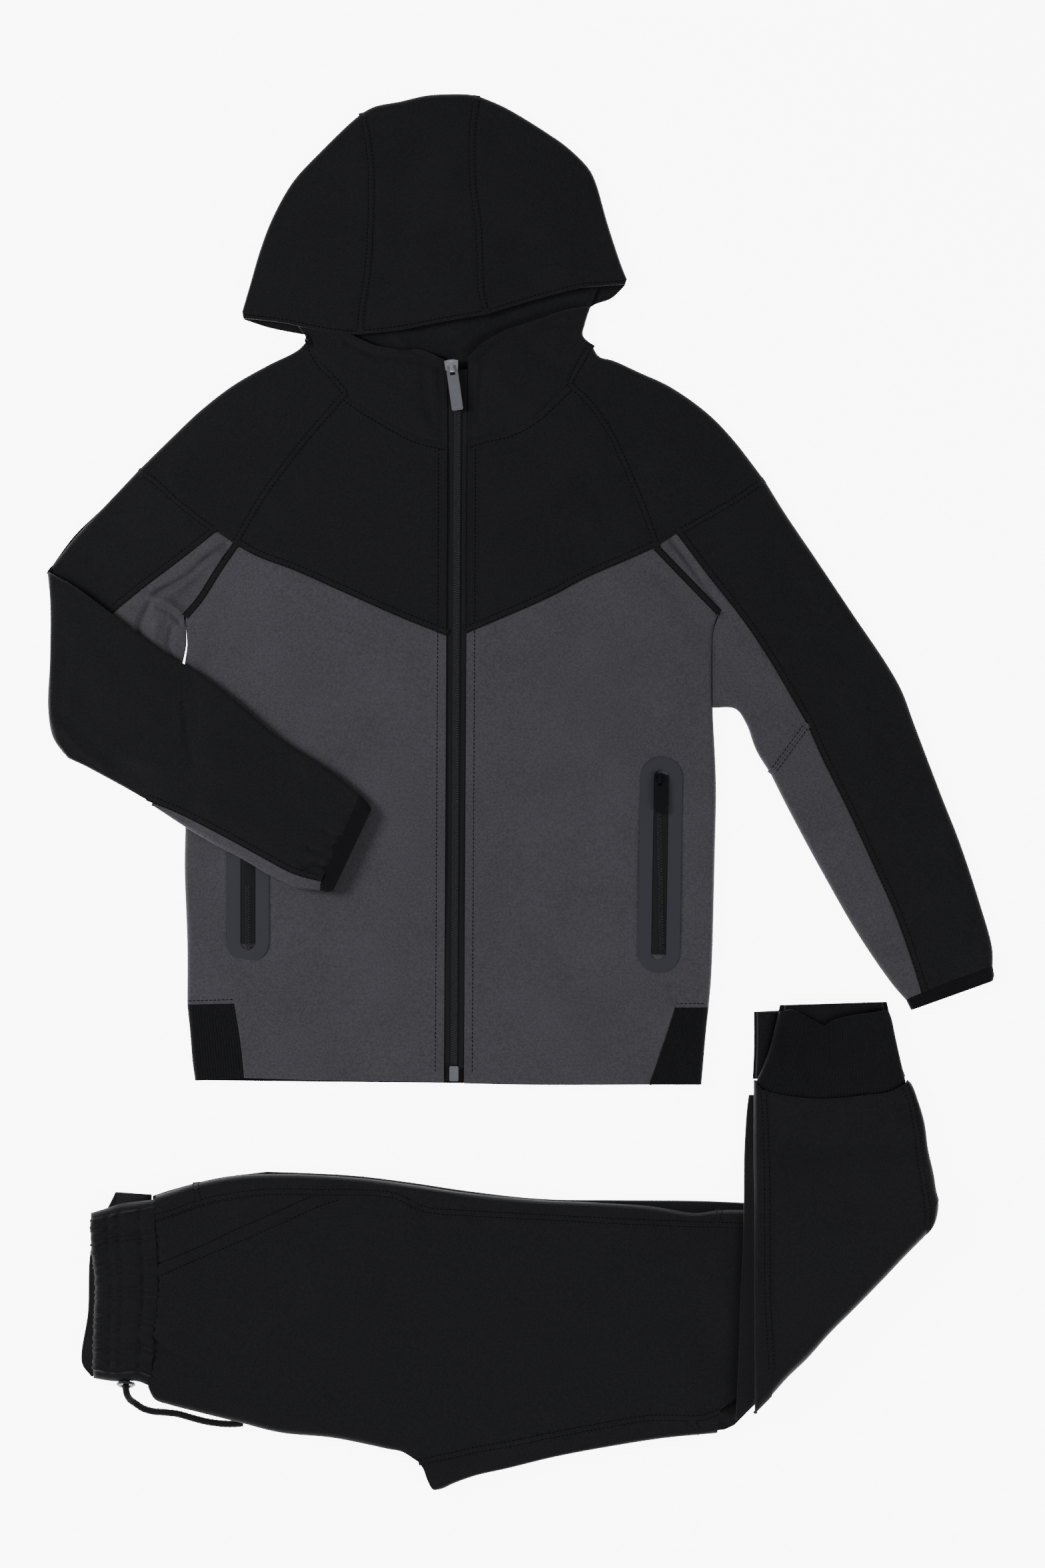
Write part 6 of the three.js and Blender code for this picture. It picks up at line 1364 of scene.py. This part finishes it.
def stitch_row(line, aside, level, trim=2.0, lift=0.0):
    row = shifted(line, aside)
    length = running_length(row)[-1]
    steps = np.arange(trim, length - trim, STITCH_PITCH)
    flat = at_length(row, steps)
    ahead = at_length(row, np.minimum(steps + SLOPE_REACH, length))
    behind = at_length(row, np.maximum(steps - SLOPE_REACH, 0))
    z = level(flat[:, 0], flat[:, 1]) + lift
    slope = (level(ahead[:, 0], ahead[:, 1]) - level(behind[:, 0], behind[:, 1])) / (2 * SLOPE_REACH)
    turn = np.arctan2(*(ahead - behind).T[::-1])
    return np.column_stack([flat, z]), np.column_stack([0 * turn, -np.arctan(slope), turn])

# %% [markdown]
# Where two panels meet, the machine flattens the seam into a narrow raised band. The band follows the seam,
# drops over a folded edge at its ends, and has two shallow grooves where the thread pulls it down.

# %% Flat seam bands
BAND_ACROSS = [-2.9, -2.6, -1.9, -1.1, 0, 1.1, 1.9, 2.6, 2.9]
BAND_RISE = [-0.7, 0.2, 0.1, 0.34, 0.28, 0.34, 0.1, 0.2, -0.7]


def over_folds(z, run, folded):
    """Heights of a line that ends at rounded edges, which it follows down to the middle of the layers."""
    middle = PAIR_HEIGHT / 2
    kept = np.ones_like(run)
    for is_folded, distance in zip(folded, (run, run[-1] - run)):
        if is_folded:
            near = np.clip(distance / FOLD_RADIUS, 0.02, 1)
            kept = kept * np.sqrt(1 - (1 - near) ** 2)
    return middle + (z - middle) * kept


def seam_band(line, level, aside, folded, width=1.0, pitch=3.0):
    base = shifted(line, aside)
    length = running_length(base)[-1]
    steps = np.linspace(0, length, max(4, int(length / pitch)))
    rows = []
    for across, rise in zip(BAND_ACROSS, BAND_RISE):
        edge = shifted(base, across * width)
        flat = at_length(edge, np.linspace(0, 1, len(steps)) * running_length(edge)[-1])
        z = over_folds(level(flat[:, 0], flat[:, 1]), steps, folded) + rise
        rows.append(np.column_stack([flat, z]))
    return wall("seam_band", np.stack(rows, axis=1), thickness=0.6)


def finish_bands(name, bands, slot):
    piece = join_as(name, bands)
    piece.data.materials.append(SLOTS[slot])
    ride_set(piece)
    print(f"{name}: {len(bands)} seams, {len(piece.data.polygons)} faces")


UNFOLDED, FOLDED_FIRST, FOLDED_LAST = (False, False), (True, False), (False, True)
jacket_bands = [
    (seams["right"]["chevron"], jacket_top, -2.6, UNFOLDED),
    (seams["left"]["chevron"], jacket_top, 2.6, UNFOLDED),
    *[(seams[side][name], jacket_top, 0, UNFOLDED) for name in ("raglan", "neck") for side in SIDES],
    (cross_seams["right_outer"], jacket_top, 0, FOLDED_LAST),
    (cross_seams["left_outer"], jacket_top, 0, FOLDED_LAST),
    (np.vstack([left_sleeve_upper, left_sleeve_middle[1:], left_sleeve_lower[1:]]), jacket_top, 2.2,
     UNFOLDED),
    (np.vstack([right_sleeve_upper, right_sleeve_lower[1:]]), jacket_top, -2.2, UNFOLDED),
    (seams["left"]["raglan_foot"], jacket_top, -1.0, UNFOLDED),
    (seams["right"]["raglan_foot"], jacket_top, 1.0, UNFOLDED),
    (forearm_seam, forearm_top, 2.2, UNFOLDED),
    (hood_right_seam, hood_top, 0, FOLDED_LAST),
    (hood_left_seam, hood_top, 0, FOLDED_LAST),
]
trouser_bands = [
    (np.vstack([thigh["side_start"], thigh["side_seam"][1:]]), leg_top, 0, UNFOLDED),
    (thigh["inseam"], leg_top, 0, UNFOLDED),
    (shin_left_seam[:-12], shin_top, 0, UNFOLDED),
    (shin_right_seam[:-6], shin_top, 0, UNFOLDED),
    (rail((-244, -293), (-243, -301), (-241, -309)), leg_top, 0, FOLDED_FIRST),
    (rail((149, -313), (147, -320), (145, -326)), leg_top, 0, FOLDED_FIRST),
    (rail((127, -470), (131, -476), (135, -482)), leg_top, 0, FOLDED_LAST),
]
finish_bands("jacket_seam_bands", [seam_band(*one) for one in jacket_bands], BLACK)
finish_bands("trouser_seam_bands", [seam_band(*one) for one in trouser_bands], BLACK)
finish_bands("elbow_seam_band", [seam_band(elbow_seam, jacket_top, 0, FOLDED_LAST, width=1.1)], GREY)

# %% [markdown]
# The thread runs in the grooves of the bands. Single rows hold the zip's facing, the collar, the pocket
# openings and the hems. The thread is black on the black cloth and on the grey cloth alike.

# %% Stitches
GROOVE = BAND_ACROSS[-3]
rows = []
for line, level, aside, folded in jacket_bands + trouser_bands:
    trim = 5.0 if folded[1] else 1.5
    rows += [stitch_row(line, aside + side * GROOVE, level, trim=trim, lift=0.12) for side in (-1, 1)]
rows += [stitch_row(elbow_seam, side * 2.0, jacket_top, trim=4, lift=0.15) for side in (-1, 0, 1)]
for side, offset, turn in (("right", -14.0, 1), ("left", 13.7, -1)):
    facing_row = rail(*[(zip_line(y) + offset, y) for y in (258, 20, -214)])
    rows += [stitch_row(facing_row, 0, jacket_top), stitch_row(seams[side]["collar"], 5 * turn, jacket_top),
             stitch_row(seams[side]["rib_top"], -3 * turn, jacket_top)]
rows += [stitch_row(line, 2.6, hood_top, trim=1.5) for line in hood_hems.values()]
rows.append(stitch_row(rail((-271, -362.5), (-240, -349), (-210, -336.5), (-180, -323.5), (-150, -310),
                            (-134, -305)), 0, leg_top))
places, turned = [np.vstack(part) for part in zip(*rows)]
place_copies("stitches", places, turned, stitch, sewing_thread)

# %% [markdown]
# A closed nylon coil looks like a plait of small bars: one row of loops for each half of the zip, half a
# step apart, meeting in the middle.

# %% Zip coils
coil_loop = bar_shape("coil_loop", 2.6, 0.95, 0.9, sides=6)


def coil(name, x_line, y_low, y_high, z, pitch, size):
    places, turned = [], []
    for side in (-1, 1):
        y = np.arange(y_low, y_high, pitch) + (pitch / 2 if side > 0 else 0)
        places.append(np.column_stack([x_line(y) + side * 1.15 * size, y, np.full_like(y, z)]))
        turned.append(np.column_stack([0 * y, np.full_like(y, 0.12), np.full_like(y, side * 0.22)]))
    place_copies(name, np.vstack(places), np.vstack(turned), coil_loop, zip_coil, size)


coil("front_coil", zip_line, -206, 306, 7.05, 1.3, 1.0)
coil("left_pocket_coil", lambda y: 104.2 - (y + 55) * math.tan(math.radians(1)), -118, -10, 8.75, 1.2, 0.8)
coil("right_pocket_coil", lambda y: 0 * y - 205, -118, -70, 8.75, 1.2, 0.8)

# %% [markdown]
# The table is a pale plain plane and the light is soft and broad, as in a photo studio, with a slightly
# brighter side so that the creases show.

# %% Table and light
floor_paint, tree, place = new_material("floor_paint")
add_shader(tree, Base_Color=linear("#f4f4f5"), Roughness=0.8, Emission_Color=linear("#ffffff"),
           Emission_Strength=8.0)
REACH = 3000
floor = add_piece("floor", [(-REACH, -REACH, 0), (REACH, -REACH, 0), (REACH, REACH, 0), (-REACH, REACH, 0)],
                  [(0, 1, 2, 3)], floor_paint)


def soft_light(name, place, size, power):
    data = bpy.data.lights.new(name, "AREA")
    data.size = size
    data.energy = power
    light = bpy.data.objects.new(name, data)
    light.location = place
    way = np.array([0, 0, 0]) - np.array(place)
    light.rotation_euler = (math.acos(-way[2] / np.linalg.norm(way)), 0,
                            math.atan2(way[1], way[0]) - math.pi / 2)
    bpy.context.scene.collection.objects.link(light)


soft_light("key", (-1.7, 0.5, 1.2), 0.7, 52)
soft_light("fill", (1.7, -0.9, 1.3), 1.2, 33)
soft_light("low", (0.2, -1.9, 1.6), 1.2, 20)
world = bpy.data.worlds.new("studio")
bpy.context.scene.world = world
world.use_nodes = True
world.node_tree.nodes["Background"].inputs["Color"].default_value = linear("#f2f3f6")
world.node_tree.nodes["Background"].inputs["Strength"].default_value = 0.38

# %% Removing the shapes that were copied
for shape in (stitch, coil_loop):
    bpy.data.objects.remove(shape)
